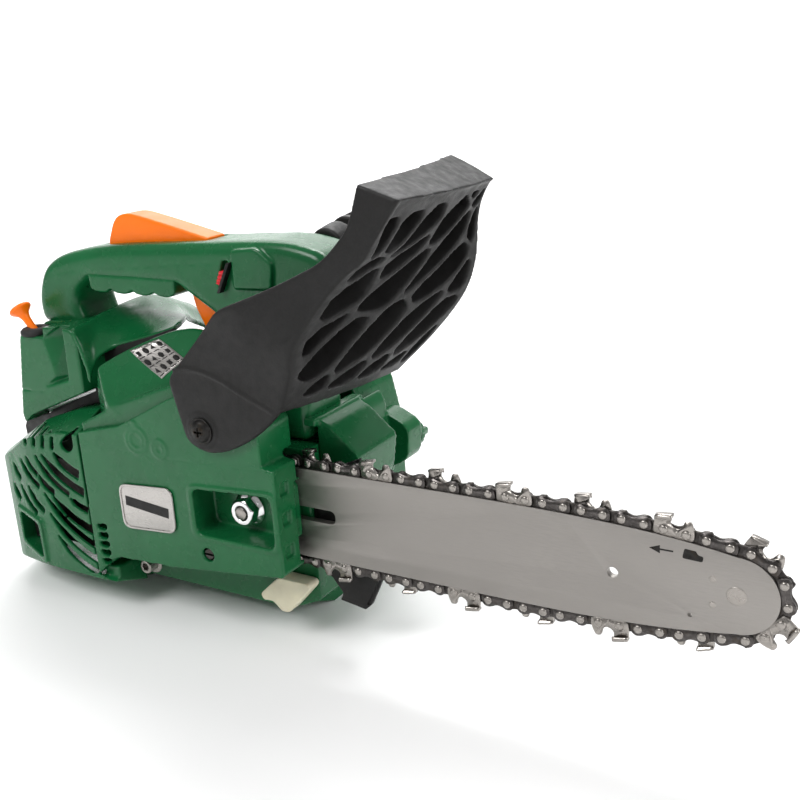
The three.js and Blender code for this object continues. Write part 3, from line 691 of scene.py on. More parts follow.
def strap_outline(span):
    """A tie strap: round ends, flat foot, and a back that ramps up to a fin at the rear."""
    return outline([
        (-3.6, -2.6, 1.5), (-3.4, 2.2, 2), (-0.6, 3.6, 1.2), (2.4, 2.2, 1.5), (span / 2 + 0.5, 1.7, 1.5),
        (span - 1.8, 3.2, 1.2), (span + 1.4, 3.7, 1.5), (span + 3.6, 1.6, 2), (span + 3.5, -2.6, 1.5),
        (span / 2 + 1.4, -2.9, 0.6), (span / 2, -2.1, 1), (span / 2 - 1.4, -2.9, 0.6),
    ], 3)


def cutter_outline(span):
    """A cutter's side: depth gauge in front, gullet, and the tooth over the rear rivet."""
    return outline([
        (-4.4, -2.6, 1.5), (-4.6, 2, 1), (-4.2, 6.6, 0.4), (3.2, 7.4, 0.3), (2.2, 3.4, 2),
        (span / 2 + 0.6, 0.9, 2), (span - 2.2, 2.2, 1.5), (span - 1.2, 6.2, 0.8), (span + 1.6, 6.6, 1.2),
        (span + 3.7, 1.5, 2), (span + 3.5, -2.6, 1.5), (span / 2 + 1.4, -2.9, 0.6), (span / 2, -2.1, 1),
        (span / 2 - 1.4, -2.9, 0.6),
    ], 3)


def drive_outline(span):
    """A drive link between two straps: its tang reaches into the bar's groove."""
    return outline([
        (-2.9, 1.2, 1), (-1.6, 3.4, 1.2), (span / 2, 2.2, 2), (span + 1.8, 4.2, 1), (span + 2.9, 1.2, 1),
        (span + 2.4, -2.4, 1), (span - 0.6, -5.2, 1), (span / 2 + 1.2, -7.4, 1), (span / 2 - 1, -5.6, 1),
        (-2.4, -2.4, 1),
    ], 3)


def top_plate(heap, to_space, side):
    """The folded top of a cutter: wide and sharp in front, lower and narrower behind."""
    edge = side * 3.3
    inner = side * -0.9
    rings = []
    for a, rise, tuck in ((3.4, 7.5, 0.0), (2.6, 7.7, 0.0), (-2.4, 6.9, 0.5), (-4.2, 6.5, 1.0)):
        near, far = edge, inner + side * tuck
        rings.append([
            to_space(a, rise, near), to_space(a, rise + 0.1, far), to_space(a, rise - 0.9, far),
            to_space(a, rise - 1.3, near - side * 1.1), to_space(a, rise - 2, near - side * 1),
            to_space(a, rise - 2, near),
        ])
    heap.add_rings(rings)


def add_chain():
    places = rivet_places()
    straps, cutters, drives, rivets = Heap(), Heap(), Heap(), Heap()
    for i in range(RIVETS):
        to_space, span = link_frame(places[i], places[(i + 1) % RIVETS])
        if i % 2:
            drives.add_plate(drive_outline(span), -0.62, 0.62, to_space)
            continue
        pair = i // 2
        for side in (-1, 1):
            low, high = sorted((side * 0.75, side * 1.75))
            is_cutter = pair % 4 == (2 if side < 0 else 0)
            if is_cutter:
                cutters.add_plate(cutter_outline(span), low, high, to_space)
                top_plate(cutters, to_space, side)
            else:
                straps.add_plate(strap_outline(span), low, high, to_space)
    dome = [(2.1, 1.7), (2.1, 2.0), (1.7, 2.35), (0.9, 2.55)]
    for rivet in places:
        for side in (-1, 1):
            rivets.add_dome(rivet.x, rivet.y, side, dome, 14)
    main = smooth_shaded(straps.piece("saw_chain_straps"), 35)
    finish_piece(main, "saw_chain", slot="chain_steel")
    for name, heap, slot in (
        ("saw_chain_cutters", cutters, "bright_steel"),
        ("saw_chain_drive_links", drives, "dark_steel"),
        ("saw_chain_rivets", rivets, "bright_steel"),
    ):
        dress(smooth_shaded(heap.piece(name), 35), slot, body_of["saw_chain"])


def bar_outline(inset=0.0):
    steps = 40
    xs = [BAR_BELLY_X + (BAR_NOSE_X - BAR_BELLY_X) * i / steps for i in range(steps + 1)]
    upper = [(88, BAR_HALF - inset)] + [(x, rivet_height(x) - STRAP_REACH - inset) for x in xs]
    radius = NOSE_RADIUS - STRAP_REACH - inset
    nose = [
        (BAR_NOSE_X + radius * math.sin(a), radius * math.cos(a))
        for a in (math.pi * i / 32 for i in range(1, 32))
    ]
    lower = [(x, -z) for x, z in reversed(upper)]
    tail = [(BAR_TAIL_X + inset, 17), (BAR_TAIL_X + 5, 20 - inset)]
    return upper + nose + lower + [(x, -z) for x, z in reversed(tail)] + tail


def add_guide_bar():
    """Hardened plate with ground rails, a groove for the drive links and a riveted nose."""
    half = 2
    bar = plate(bar_outline(), -half, half, name="bar")
    slot = [(BAR_TAIL_X - 3, -3.9), (111, -3.9, 3.8), (111, 3.9, 3.8), (BAR_TAIL_X - 3, 3.9)]
    rail = cut(plate(bar_outline(-2), -0.7, 0.7), plate(bar_outline(3.6), -0.8, 0.8))
    cut(
        bar,
        plate(slot, -half - 1, half + 1),
        rod(264, 0, 2.7, -half - 1, half + 1),
        rod(76, -13, 2.6, -half - 1, half + 1),
        rod(76, 13, 2.0, -half - 1, half + 1),
        rod(300, -13.5, 1.1, -half - 1, half + 1, 20),
        rail,
    )
    finish_piece(rounded_edges(bar, 0.25, 2), "guide_bar")
    add_nose_rivets()
    add_direction_mark()


def add_nose_rivets():
    heads = Heap()
    small = [(BAR_NOSE_X - 12 * math.cos(a), 12 * math.sin(a)) for a in (-0.55, 0.55)]
    for (x, z), radius in [((BAR_NOSE_X, 0), 4.4)] + [(p, 1.6) for p in small]:
        dome = [(radius, 1.9), (radius, 2.05), (radius - 0.25, 2.12), (radius * 0.3, 2.14)]
        for side in (-1, 1):
            heads.add_dome(x, z, side, dome, 40)
    dress(smooth_shaded(heads.piece("bar_nose_rivets"), 35), "bright_steel", "bar")


def add_direction_mark():
    """A plain arrow and a plain link shape, on both sides of the bar."""
    mark = Heap()

    def flat(a, h, y):
        return (a, y, h)

    for side in (-1, 1):
        low, high = sorted((side * 1.98, side * 2.03))
        arrow = [(292, 15.6), (292, 16.4), (286, 16.4), (286, 18), (281, 16), (286, 14), (286, 15.6)]
        mark.add_plate(arrow, low, high, flat, 0)
        link = outline([
            (296, 13.6, 1), (305, 13.2, 1), (305.4, 16, 1), (303, 16.2, 1), (302, 18, 0.4), (297, 18.4, 0.6),
            (296.4, 16, 1),
        ], 3)
        mark.add_plate(link, low, high, flat, 0)
    dress(mark.piece("bar_direction_mark"), "black_steel", "bar")


# ---- Hand guard --------------------------------------------------------------------------

GUARD_SPAN_Y = (-28, 76)
SHIELD_DEPTH = 12  # how deep the pockets are
# The shield's front lines at its right side and at its left side, from its foot to its lip.
SHIELD_RIGHT = [
    (102, 66), (110.5, 85), (116, 101), (131, 121.5), (146, 136), (159, 146), (170, 165.5), (178, 172),
]
SHIELD_LEFT = [
    (108, 60), (134, 84.6), (153, 107), (160.5, 124), (163, 140), (166, 156), (171, 166), (174, 168.5),
]
# The same lines on the shield's back.
BACK_RIGHT = [(92, 70), (97, 95), (103, 112), (116, 128), (134, 143), (150, 159), (155, 170), (157, 179)]
BACK_LEFT = [(100, 68), (118, 96), (137, 116), (145, 130), (147, 143), (148, 156), (149, 170), (150, 182)]
LATTICE_SPACING = 15
LATTICE_RIB = 3.8
SMALLEST_CELL = 45  # square millimetres


def shield_lines(right, left, samples):
    """A function that gives the line from foot to lip at each share of the width.

    The middle of the shield bulges forwards a little.
    """
    first = spline([(x, 0, z) for x, z in right], samples)
    last = spline([(x, 0, z) for x, z in left], samples)

    def line(share):
        y = GUARD_SPAN_Y[0] + (GUARD_SPAN_Y[1] - GUARD_SPAN_Y[0]) * share
        bulge = Vector((2.5, 0, -0.5)) * 4 * share * (1 - share)
        points = [a.lerp(b, share) + bulge for a, b in zip(first, last)]
        return [Vector((p.x, y, p.z)) for p in points]

    return line


def clipped(polygon, point, normal):
    """The part of a polygon behind a line through point."""
    kept = []
    for i, b in enumerate(polygon):
        a = polygon[i - 1]
        da, db = (a - point).dot(normal), (b - point).dot(normal)
        if (da < 0) != (db < 0):
            kept.append(a.lerp(b, da / (da - db)))
        if db < 0:
            kept.append(b)
    return kept


def soft_corners(polygon, rounds=2):
    for _ in range(rounds):
        cut_back = []
        for i, b in enumerate(polygon):
            a = polygon[i - 1]
            cut_back += [a.lerp(b, 0.22), a.lerp(b, 0.78)]
        polygon = cut_back
    return polygon


def lattice_cells(width, height):
    """Irregular leaf-like cells, drawn out up to the right: what is nearest to each scattered seed."""
    random.seed(11)
    lean = math.radians(52)
    squeeze = 0.42

    def to_grid(p):
        along = p.x * math.cos(lean) + p.y * math.sin(lean)
        across = -p.x * math.sin(lean) + p.y * math.cos(lean)
        return Vector((along * squeeze, across))

    seeds = []
    for _ in range(900):
        trial = Vector((random.uniform(-14, width + 14), random.uniform(-14, height + 14)))
        if all((to_grid(trial) - to_grid(other)).length > LATTICE_SPACING for other in seeds):
            seeds.append(trial)
    cells = []
    for seed in seeds:
        cell = [Vector(c) for c in ((0, 0), (width, 0), (width, height), (0, height))]
        for other in seeds:
            if other is seed or len(cell) < 3:
                continue
            # The line of equal distance in the squeezed grid is straight here too.
            apart = to_grid(other) - to_grid(seed)
            normal = Vector((
                apart.x * squeeze * math.cos(lean) - apart.y * math.sin(lean),
                apart.x * squeeze * math.sin(lean) + apart.y * math.cos(lean),
            )).normalized()
            cell = clipped(cell, (seed + other) / 2 - normal * LATTICE_RIB / 2, normal)
        if len(cell) > 2 and polygon_area(cell) > SMALLEST_CELL:
            cells.append(soft_corners(cell, 1))
    return cells


def polygon_area(polygon):
    return abs(sum(a.x * b.y - a.y * b.x for a, b in zip(polygon, polygon[1:] + polygon[:1]))) / 2


def shield_pockets(front):
    """Solids that cut the pockets, square to the front surface."""
    # The plain borders beside, below and above the pockets.
    beside, below, above = 5, 7, 27
    whole_width = GUARD_SPAN_Y[1] - GUARD_SPAN_Y[0]
    width, height = whole_width - 2 * beside, 124
    lines = len(front(0)) - 1

    def at(p, depth):
        line = front((p.x + beside) / whole_width)
        v = (p.y + below) / (height + below + above) * lines
        i = min(int(v), lines - 1)
        here = line[i].lerp(line[i + 1], v - i)
        slope = (line[i + 1] - line[i]).normalized()
        inwards = Vector((-slope.z, 0, slope.x))
        return tuple(here + inwards * depth)

    cutters = []
    for cell in lattice_cells(width, height):
        rings = [[at(p, depth) for p in cell] for depth in (-4, SHIELD_DEPTH)]
        cutters.append(loft(rings))
    return cutters


def add_hand_guard():
    samples = 7
    front = shield_lines(SHIELD_RIGHT, SHIELD_LEFT, samples)
    back = shield_lines(BACK_RIGHT, BACK_LEFT, samples)
    steps = 20
    shares = [i / steps for i in range(steps + 1)]
    shield = loft([[tuple(p) for p in front(share) + back(share)[::-1]] for share in shares], "guard")
    arm = plate([
        (50, 38, 8), (38, 43, 5), (29.5, 77, 5), (70, 117, 6), (103, 129, 20), (134, 143, 8),
        (150, 158.5, 8), (157, 179, 2), (178, 171.5, 2), (169, 160, 8), (158, 145, 12), (145, 136, 20),
        (130, 121.5, 16), (115, 101, 10), (110, 85, 10), (102, 66, 8), (84, 50, 12), (64, 40, 9),
    ], GUARD_ARM_Y[0], GUARD_ARM_Y[1] + 0.3)
    boss = rod(*GUARD_PIVOT, 9.5, GUARD_ARM_Y[0] - 0.8, GUARD_ARM_Y[1])
    cut(shield, *shield_pockets(front))
    join(shield, arm, boss)
    # Seen from the front the lip has rounded corners and narrows to the shield below it.
    common(shield, plate([
        (-50, 20), (-50, 120), (-33, 165), (-28.4, 182.5, 10), (75.5, 184, 15), (73.5, 150, 12),
        (78, 128, 12), (78, 20),
    ], 0, 220, axis="X"))
    cut(shield, rod(*GUARD_PIVOT, 3.4, -40, -20))
    add_arm_rib(shield)
    guard = moulded(shield, 0.85, 5)
    fold_arm(guard)
    finish_piece(guard, "hand_guard")
    add_guard_screw()


def add_arm_rib(shield):
    """The thin bowed rib across the arm's lower half."""
    path = [(34, -29, 82.5), (47, -29.1, 84), (63, -29.1, 81), (81, -29.1, 73), (98, -29, 66)]
    join(shield, swept(path, oval(0.9, 0.7, 10), 8))


def fold_arm(guard):
    """Pushes the arm out along the soft bend that crosses it."""
    start, end = Vector((79, 118)), Vector((115, 99))
    across = Vector((-(end - start).y, (end - start).x)).normalized()
    height, half_width = 3.2, 17
    inner_y, fade = -22, 3
    for vertex in guard.data.vertices:
        x, y, z = (vertex.co - place(0, 0, 0)) / MM
        if y > inner_y:
            continue
        distance = (Vector((x, z)) - start).dot(across)
        push = height * math.exp(-((distance / half_width) ** 2)) * min(1, (inner_y - y) / fade)
        vertex.co.y -= push * MM


def cross_slot(x, y, z, length, width, depth):
    """The two bars of a cross recess, seen from -Y."""
    return [
        block((x - length, x + length), (y, y + depth), (z - width, z + width)),
        block((x - width, x + width), (y, y + depth), (z - length, z + length)),
    ]


def add_guard_screw():
    x, z = GUARD_PIVOT
    face = GUARD_ARM_Y[0] - 0.8
    head = turned([
        (0, face - 3.2), (3.2, face - 3.1), (5.2, face - 2.3), (6.2, face - 1), (6.2, face - 0.1),
        (2.9, face), (2.9, COVER_FACE_Y - 0.3), (0, COVER_FACE_Y - 0.3),
    ], (x, 0, z), name="screw")
    rim = [(3.2, face - 0.9), (7.4, face - 0.9), (7.4, face - 0.1), (3.2, face - 0.1)]
    washer = turned(rim, (x, 0, z))
    cut(head, *cross_slot(x, face - 4, z, 2.6, 0.55, 2.6))
    finish_piece(rounded_edges(head, 0.2, 2), "guard_screw", slot="black_steel")
    dress(rounded_edges(washer, 0.2, 2), "black_steel", "chassis").name = "guard_washer"


# ---- Clutch cover and what is on it ------------------------------------------------------


def ring_mark(x, z, radius):
    """A thin raised ring on the clutch cover."""
    inside = radius - 0.9
    low, high = COVER_FACE_Y - 0.5, COVER_FACE_Y + 1
    return turned([(inside, low), (radius, low), (radius, high), (inside, high)], (x, 0, z), segments=64)


def add_clutch_cover():
    cover = cad_copy("clutch_cover")
    face = COVER_FACE_Y
    # Two raised turn-direction marks beside the guard's foot, and the raised rim of the recess.
    marks = [ring_mark(-3.5, 37, r) for r in (8.2, 5.4)]
    marks += [ring_mark(13, 34, r) for r in (5.6, 3.2)]
    marks += [block((-5, -2), (face - 0.5, face + 1), (44.5, 48))]
    join(cover, *marks)
    rim = cut(
        plate([(30, -16, 6), (90.4, -15, 6), (90.4, 20, 6), (30, 16, 6)], face - 0.7, face + 1),
        plate([(33, -13, 5), (87, -13, 5), (87, 17, 5), (33, 13.6, 5)], face - 2, face + 2),
    )
    join(cover, rim)
    notches = [block((88.4, 94), (-20, -13), (z, z + 7)) for z in (16, -1, -20)]
    cooling = [
        plate(
            [(-46, z, 0.8), (-38, z + 1.2, 0.8), (-38, z + 4.4, 0.8), (-46, z + 3.2, 0.8)], face - 2, face + 5
        )
        for z in (-24.5 - 5.6 * i for i in range(5))
    ]
    seam = swept([(3, face, 28), (40, face, 30), (95, face, 32)], oval(0.5, 0.35))
    cut(cover, *notches, *cooling, seam)
    finish_piece(moulded(cover, 0.75, 3), "clutch_cover")


def add_badge():
    """Brushed plate with a bevelled rim and one blank dark band."""
    y = COVER_FACE_Y - 0.3
    corners = [(-21.6, -18.4, 6), (18.6, -15.4, 6), (19, 12, 6.5), (-21.6, 9, 6)]
    badge = rounded_edges(plate(corners, y - 0.9, y, name="badge"), 0.3, 3)
    finish_piece(badge, "badge_plate")
    lip = cut(
        plate(corners, y - 1.25, y - 0.85),
        plate([(-20.4, -17.2, 5.4), (17.5, -14.4, 5.4), (17.9, 10.9, 5.9), (-20.5, 7.9, 5.4)], y - 2, y),
    )
    dress(rounded_edges(lip, 0.12, 2), "badge_aluminium", "chassis").name = "badge_rim"
    band = plate([(-17.6, -3.6), (14.4, -6.8), (15, -0.8), (-17.2, 2.3)], y - 1, y - 0.88)
    dress(band, "black_plastic", "chassis").name = "badge_band"


def add_bar_nut():
    """Flanged hexagon nut on the stud, with chamfered corners."""
    foot = (STUD_X, 0, 0)
    nut = plate(hexagon(STUD_X, 0, 8.1, 0.07), -16.5, -9, name="nut")
    common(nut, turned([(0, -16.5), (6.6, -16.5), (8.2, -15.4), (8.2, -8), (0, -8)], foot))
    join(nut, turned([(0, -10.6), (7.4, -10.6), (10, -9.2), (10, -8.3), (0, -8.3)], foot))
    countersink = turned([(0, -17), (5, -17), (4, -15.8), (0, -15.8)], foot)
    cut(nut, rod(STUD_X, 0, 4.1, -18, -7), countersink)
    finish_piece(rounded_edges(nut, 0.25, 3), "bar_nut")
    threads = [(0, -17.2), (3.2, -17.2)]
    for i in range(26):
        threads += [(3.8, -16.8 + i), (3.3, -16.3 + i)]
    threads += [(3.3, 12), (0, 12)]
    finish_piece(smooth_shaded(turned(threads, foot, name="stud"), 40), "bar_stud")


def add_tension_screw():
    """Slotted screw flush in the clutch cover."""
    screw = turned([(0, -24), (2.9, -24), (3.4, -23.5), (3.4, -6), (0, -6)], (39, 0, -25), name="screw")
    cut(screw, block((34, 44), (-25, -22.4), (-25.6, -24.4)))
    finish_piece(rounded_edges(screw, 0.15, 2), "tension_screw")


# ---- Muffler grille ----------------------------------------------------------------------

# Each slot of the grille: where it starts, where it ends, and how wide it is.
GRILLE_SLOTS = [
    (-74, 20, -55, 8, 7), (-85, 17.5, -53, -3, 6.5), (-91, 16.5, -66, -6, 4.5), (-101, 14, -92, 3, 4),
    (-108, 11, -92, -5, 4.5), (-91, 3.5, -79, -7, 5), (-66, -8, -52, -14, 5), (-81, -9, -50, -27, 6.5),
    (-88, -8, -49, -37, 5.5), (-86, -21, -48, -47, 5.5), (-82, -35, -52, -55, 5), (-104, -6, -91, -21, 4.5),
    (-113, -8, -99, -24, 4.5), (-118, 6, -112, -4, 4.5), (-122, -9, -117, -19, 4.5),
]
THROUGH_GRILLE = (-40, -3)  # Y range that passes through the wall
EXHAUST_PORT = [(-119, -47, 3), (-97, -53, 3), (-97.5, -30, 3), (-118.5, -26.5, 3)]


def grille_slot(x0, z0, x1, z1, width):
    """A slot that swoops down to the front: pointed where it starts, blunt where it ends."""
    steps = 14
    bend = Vector((x0 + 0.34 * (x1 - x0), z0 + 0.72 * (z1 - z0)))
    first, last = Vector((x0, z0)), Vector((x1, z1))
    sides = ([], [])
    for i in range(steps + 1):
        t = i / steps
        point = first * (1 - t) ** 2 + bend * 2 * t * (1 - t) + last * t * t
        along = ((bend - first) * (1 - t) + (last - bend) * t).normalized()
        half = width / 2 * min(1, 0.25 + 2.2 * t)
        sides[0].append((point.x - along.y * half, point.y + along.x * half))
        sides[1].append((point.x + along.y * half, point.y - along.x * half))
    return plate(sides[0] + sides[1][::-1], *THROUGH_GRILLE)


def grille_louvre(number):
    """One of the short slots along the grille's top."""
    x = -77 - 8 * number
    top = 31 - 0.14 * number
    corners = [(x + 0.6, 21, 1.5), (x + 3.9, 21.5, 1.5), (x + 5.4, top, 1.5), (x + 2.4, top - 1, 1.5)]
    return plate(corners, *THROUGH_GRILLE)


def add_muffler_cover():
    """Grille over the muffler, with a framed exhaust port in its slanting rear corner."""
    cover = cad_copy("muffler_cover")
    # The solid wall again, in which the grille's own slots are then cut.
    wall_top = [(-150, -6), (-139, 3), (-118, 14), (-100, 25), (-71, 33), (-53, 34)]
    patch = common(
        plate([
            (-51.5, -24.9), (-96, -24.9, 10), (-133.8, -15.9, 10), (-150.8, 10.1, 12), (-150.8, 30),
            (-148.2, 30), (-148.2, 11, 11), (-132.4, -13.4, 9), (-96, -22.3, 9), (-51.5, -22.3),
        ], -70, 40, axis="Z"),
        plate([(-53.5, -70), (-140, -70), (-147, -50)] + wall_top, -30, 60),
    )
    join(cover, patch)
    slots = [grille_slot(*slot) for slot in GRILLE_SLOTS]
    louvres = [grille_louvre(number) for number in range(5)]
    drop = plate([(-68, 26.5, 4), (-63.5, 21, 5), (-55.8, 24, 4), (-55.4, 37, 0.6)], *THROUGH_GRILLE)
    cut(cover, *slots, *louvres, drop, plate(EXHAUST_PORT, -40, -8))
    corner = plate([
        (-90, -26.6), (-97, -26.3), (-134.6, -17.4, 10), (-152, 10), (-152, 14), (-90, 14),
    ], -62, -18, axis="Z")
    port_frame = plate([(-122.5, -49.5, 3), (-94, -56.5, 3), (-94.5, -27, 3), (-122, -23, 3)], -40, -9)
    join(cover, common(corner, cut(port_frame, plate(EXHAUST_PORT, -50, 10))))
    # The underside slopes up towards the right, and wraps a little way under the clutch cover.
    below = [(-60, -40), (-25.5, -57.5), (22, -75.5), (22, -95), (-60, -95)]
    cut(cover, plate(below, -160, -40, axis="X"))
    sole = [(-25.5, -58), (22, -76), (32, -76), (32, -73.4), (22, -73.4), (-25.5, -55.2)]
    plan = [(-47, -24.9), (-96, -24.9, 10), (-133.8, -15.9, 10), (-150.8, 10.1, 12), (-150.8, 30), (-47, 30)]
    underside = common(plate(sole, -151, -46, axis="X"), plate(plan, -90, 0, axis="Z"))
    toe = plate([(-24, -58.4), (1.5, -68), (1.5, -50), (-20.5, -50), (-20.5, -56.8)], -50, -38, axis="X")
    heel = plate([(-20.5, -58), (22, -74), (22, -46), (-20.5, -46)], -48.8, -46, axis="X")
    join(cover, underside, toe, heel)
    finish_piece(moulded(cover, 0.7, 2), "muffler_cover")


# ---- Handles -----------------------------------------------------------------------------


def add_top_handle():
    """Grip with rolled edges; slots for the lockout, trigger and stop switch, and a raised pad."""
    handle = plate([
        (-109, 87.5), (-110.5, 106, 14), (-98, 128.5, 26), (-52, 138, 30), (81, 144.5, 14),
        (108, 138, 10), (113, 119, 8),
        (106, 106, 6), (90, 90, 10), (88, 34.3), (52, 34.3), (52, 70, 12), (36, 98, 8), (18, 109, 4),
        (4, 117, 2), (-64, 117, 2), (-79, 106, 12), (-72, 87.5),
    ], 12, 48, name="handle", steps=8)
    rounded_edges(handle, 8.5, 6, 60)
    moulded(handle, 1.6, 3)
    cut(
        handle,
        block((-54, 25), (21, 39), (123.5, 150)),
        block((2, 32), (24, 36), (90, 128)),
        plate([(36.2, 119.5), (40.6, 132.5), (45, 132.5), (41, 118)], 11, 17),
    )
    seam = [(-96, 12, 118), (-72, 11.9, 122.6), (-12, 11.9, 127.5), (38, 11.9, 131.4)]
    cut(handle, swept(seam, oval(0.5, 0.5)))
    raised = plate([(48.5, 118, 1), (74, 119, 2), (76, 133, 3), (66, 140.5, 3), (49, 139, 2)], 9.6, 16)
    join(handle, rounded_edges(raised, 1.6, 3, 60))
    finish_piece(moulded(handle, 0.85, 2), "top_handle")


def add_grip_lower():
    """The lower half of the grip, scalloped for four fingers."""
    bottom = []
    finger = 16.6
    fingers = 4
    steps = 14
    for i in range(fingers * steps + 1):
        x = 3.4 - finger * i / steps
        bottom.append((x, 112.4 - 3.2 * abs(math.sin(math.pi * i / steps)) ** 0.7))
    grip = plate([(4.5, 121)] + bottom + [(-64, 121)], 12.6, 47.4, name="grip")
    finish_piece(moulded(grip, 1.1, 9), "handle_grip")


def add_throttle():
    """Lockout in the grip's back and trigger under it."""
    lockout = plate([
        (20, 133, 2), (24, 142.5, 2), (-8, 150, 40), (-34, 155.5, 8), (-45, 153, 7), (-51.8, 139, 2),
        (-52, 133, 1),
    ], 22.2, 37.8, name="lockout", steps=8)
    rounded_edges(lockout, 2.4, 4, 60)
    cut(lockout, swept([(-50, 22, 140), (-20, 22, 143), (20, 22, 139)], oval(0.5, 0.5)))
    finish_piece(moulded(lockout, 0.7, 2), "throttle_lockout")
    trigger = plate([
        (4, 112, 1), (6, 102, 3), (12, 89.6, 3), (16, 90, 1), (26, 98, 8), (30, 110, 6), (30, 120, 2),
        (12, 121, 2),
    ], 25, 35, name="trigger")
    rounded_edges(trigger, 2, 4, 60)
    finish_piece(moulded(trigger, 0.7, 2), "throttle_trigger")


def add_stop_switch():
    """Red slide with a ribbed thumb face, behind a slim black lip."""
    corners = [(37, 120.5, 0.6), (40.4, 119.2, 0.6), (44.4, 127.4, 0.6), (40.4, 127.4, 0.6)]
    slide = plate(corners, 9.5, 16.4, name="slide")
    grooves = [block((36, 46), (9, 10.1), (120.8 + 2 * i, 121.6 + 2 * i)) for i in range(3)]
    cut(slide, *grooves)
    finish_piece(rounded_edges(slide, 0.3, 2), "stop_switch")
    lip = plate([(38, 115.4, 0.6), (40, 115.4, 0.6), (48.6, 132.2, 0.6), (46.6, 132.2, 0.6)], 8.2, 13)
    dress(rounded_edges(lip, 0.3, 2), "black_plastic", "chassis").name = "stop_switch_lip"


def add_side_handle():
    """Tube from the top handle round the starter side to the base, cored and grooved."""
    path = [
        (84, 48, 134), (82, 66, 136), (74, 96, 136), (58, 126, 124), (44, 139, 98), (40, 141, 60),
        (40, 141, 10), (42, 136, -20), (46, 118, -40), (48, 98, -50),
    ]
    tube = swept(path, oval(11, 11, 40), 8, "tube")
    cut(tube, block((20, 90), (60, 104.3), (-90, -10)), block((60, 110), (30, 48.3), (100, 160)))
    cores = [
        plate([(70, y, 3), (70, y + 10, 3), (90, y + 10, 3), (90, y, 3)], 142, 152, axis="Z")
        for y in (64, 80, 96)
    ]
    groove = [(10.4, -0.8), (12, -1), (12, 1), (10.4, 0.8)]
    grooves = [turned(groove, (40, 141, 16 + 6 * i), (0, 0, 1), 40) for i in range(8)]
    cut(tube, *cores, *grooves)
    finish_piece(moulded(tube, 0.95, 2), "side_handle")


# ---- Engine covers and air box -----------------------------------------------------------


def add_air_box():
    """Rear box: a cheek that runs out in a ridge, a tapering recess and a seam at the foot."""
    box = cad_copy("air_filter_cover")
    join(box, block((-103, -67.5), (-6, 2.5), (56, 90.2)))
    recess = loft([
        [(-88.6, -9, 84.5), (-69, -9, 95), (-70, -9, 60), (-96, -9, 52), (-82, -9, 61.5)],
        [(-72, -0.6, 87), (-69.2, -0.6, 95), (-70.2, -0.6, 62.5), (-72, -0.6, 61.4), (-71.8, -0.6, 63)],
    ])
    choke_step = block((-120, -86), (-12, 9), (85.4, 100))
    side_chamfer = plate([(-59, -9), (-50, -9), (-50, 12), (-54, 12)], 50, 95, axis="Z")
    seam = swept([(-115, -8, 50.2), (-95, -8, 51), (-93, -8, 52)], oval(0.7, 0.7))
    cut(box, recess, choke_step, side_chamfer, seam)
    finish_piece(moulded(box, 0.8, 3), "air_filter_cover")


def add_choke():
    """Pull knob with a dished head on a waisted stem, in its rubber grommet."""
    foot, axis = (-99, -1, 84.2), (-0.6, 0, 0.8)
    stem = [
        (0, -9), (2.6, -9), (2.6, 3), (2.3, 8), (2.5, 12), (3.4, 15), (6.3, 17.8), (6.9, 18.6), (6.8, 19.6),
        (6.1, 20.3), (4.6, 20.1), (3, 19.8), (0, 19.7),
    ]
    finish_piece(smooth_shaded(turned(stem, foot, axis, name="knob"), 50), "choke_knob")
    ring = [(3.4, 0.8), (9, 0.8), (9.5, 1.8), (9.4, 3.2), (8, 4.6), (6.4, 5.2), (3.4, 4.8)]
    grommet = turned(ring, foot, (0, 0, 1), name="ring")
    finish_piece(smooth_shaded(grommet, 50), "choke_grommet")


def smooth_sheet(rows, steps, thickness, name):
    """A shell of even thickness through rows of points, smooth both ways."""
    across = [spline(row, steps) for row in rows]
    columns = [spline([row[i] for row in across], steps) for i in range(len(across[0]))]
    height = len(columns[0])
    points = [tuple(p) for column in columns for p in column]
    faces = [
        (c * height + r, (c + 1) * height + r, (c + 1) * height + r + 1, c * height + r + 1)
        for c in range(len(columns) - 1) for r in range(height - 1)
    ]
    sheet = new_piece(name, points, faces)
    solidify = sheet.modifiers.new("wall", "SOLIDIFY")
    solidify.thickness = thickness * MM
    solidify.offset = 1 if sheet.data.polygons[0].normal.z < 0 else -1
    return apply_modifiers(sheet)


def add_engine_shroud():
    """One smooth skin that leaves the air box's ridge and arches over to the starter side."""
    near_edge = [
        (-51.3, -8, 60), (-51.2, -4, 68), (-49.6, 0, 75), (-43.4, 8, 80), (-30, 9.5, 83.5), (-12, 10, 89),
        (2, 10, 94),
    ]
    hollow = [
        (-52.4, -8, 68), (-53.5, -5, 77), (-53, 4, 82.5), (-46, 18, 87), (-34, 22, 90), (-18, 24, 93),
        (-3, 24, 95),
    ]
    rise = [
        (-55.5, -8, 81), (-57, -4, 86), (-58, 12, 90.5), (-53, 32, 94), (-42, 38, 95.5), (-29, 40, 95),
        (-14, 40, 93),
    ]
    crest = [
        (-60.7, -7.5, 91.5), (-62, 4, 93), (-64, 24, 96), (-62, 50, 99), (-52, 56, 99), (-41, 60, 94.5),
        (-28, 60, 84),
    ]
    far_edge = [
        (-67, -4, 90), (-68, 8, 90.5), (-70, 30, 91), (-66, 72, 90), (-54, 84, 88), (-44, 86, 82),
        (-36, 86, 72),
    ]
    shroud = smooth_sheet([near_edge, hollow, rise, crest, far_edge], 6, 3, "shroud")
    finish_piece(moulded(shroud, 0.9, 3), "engine_shroud")


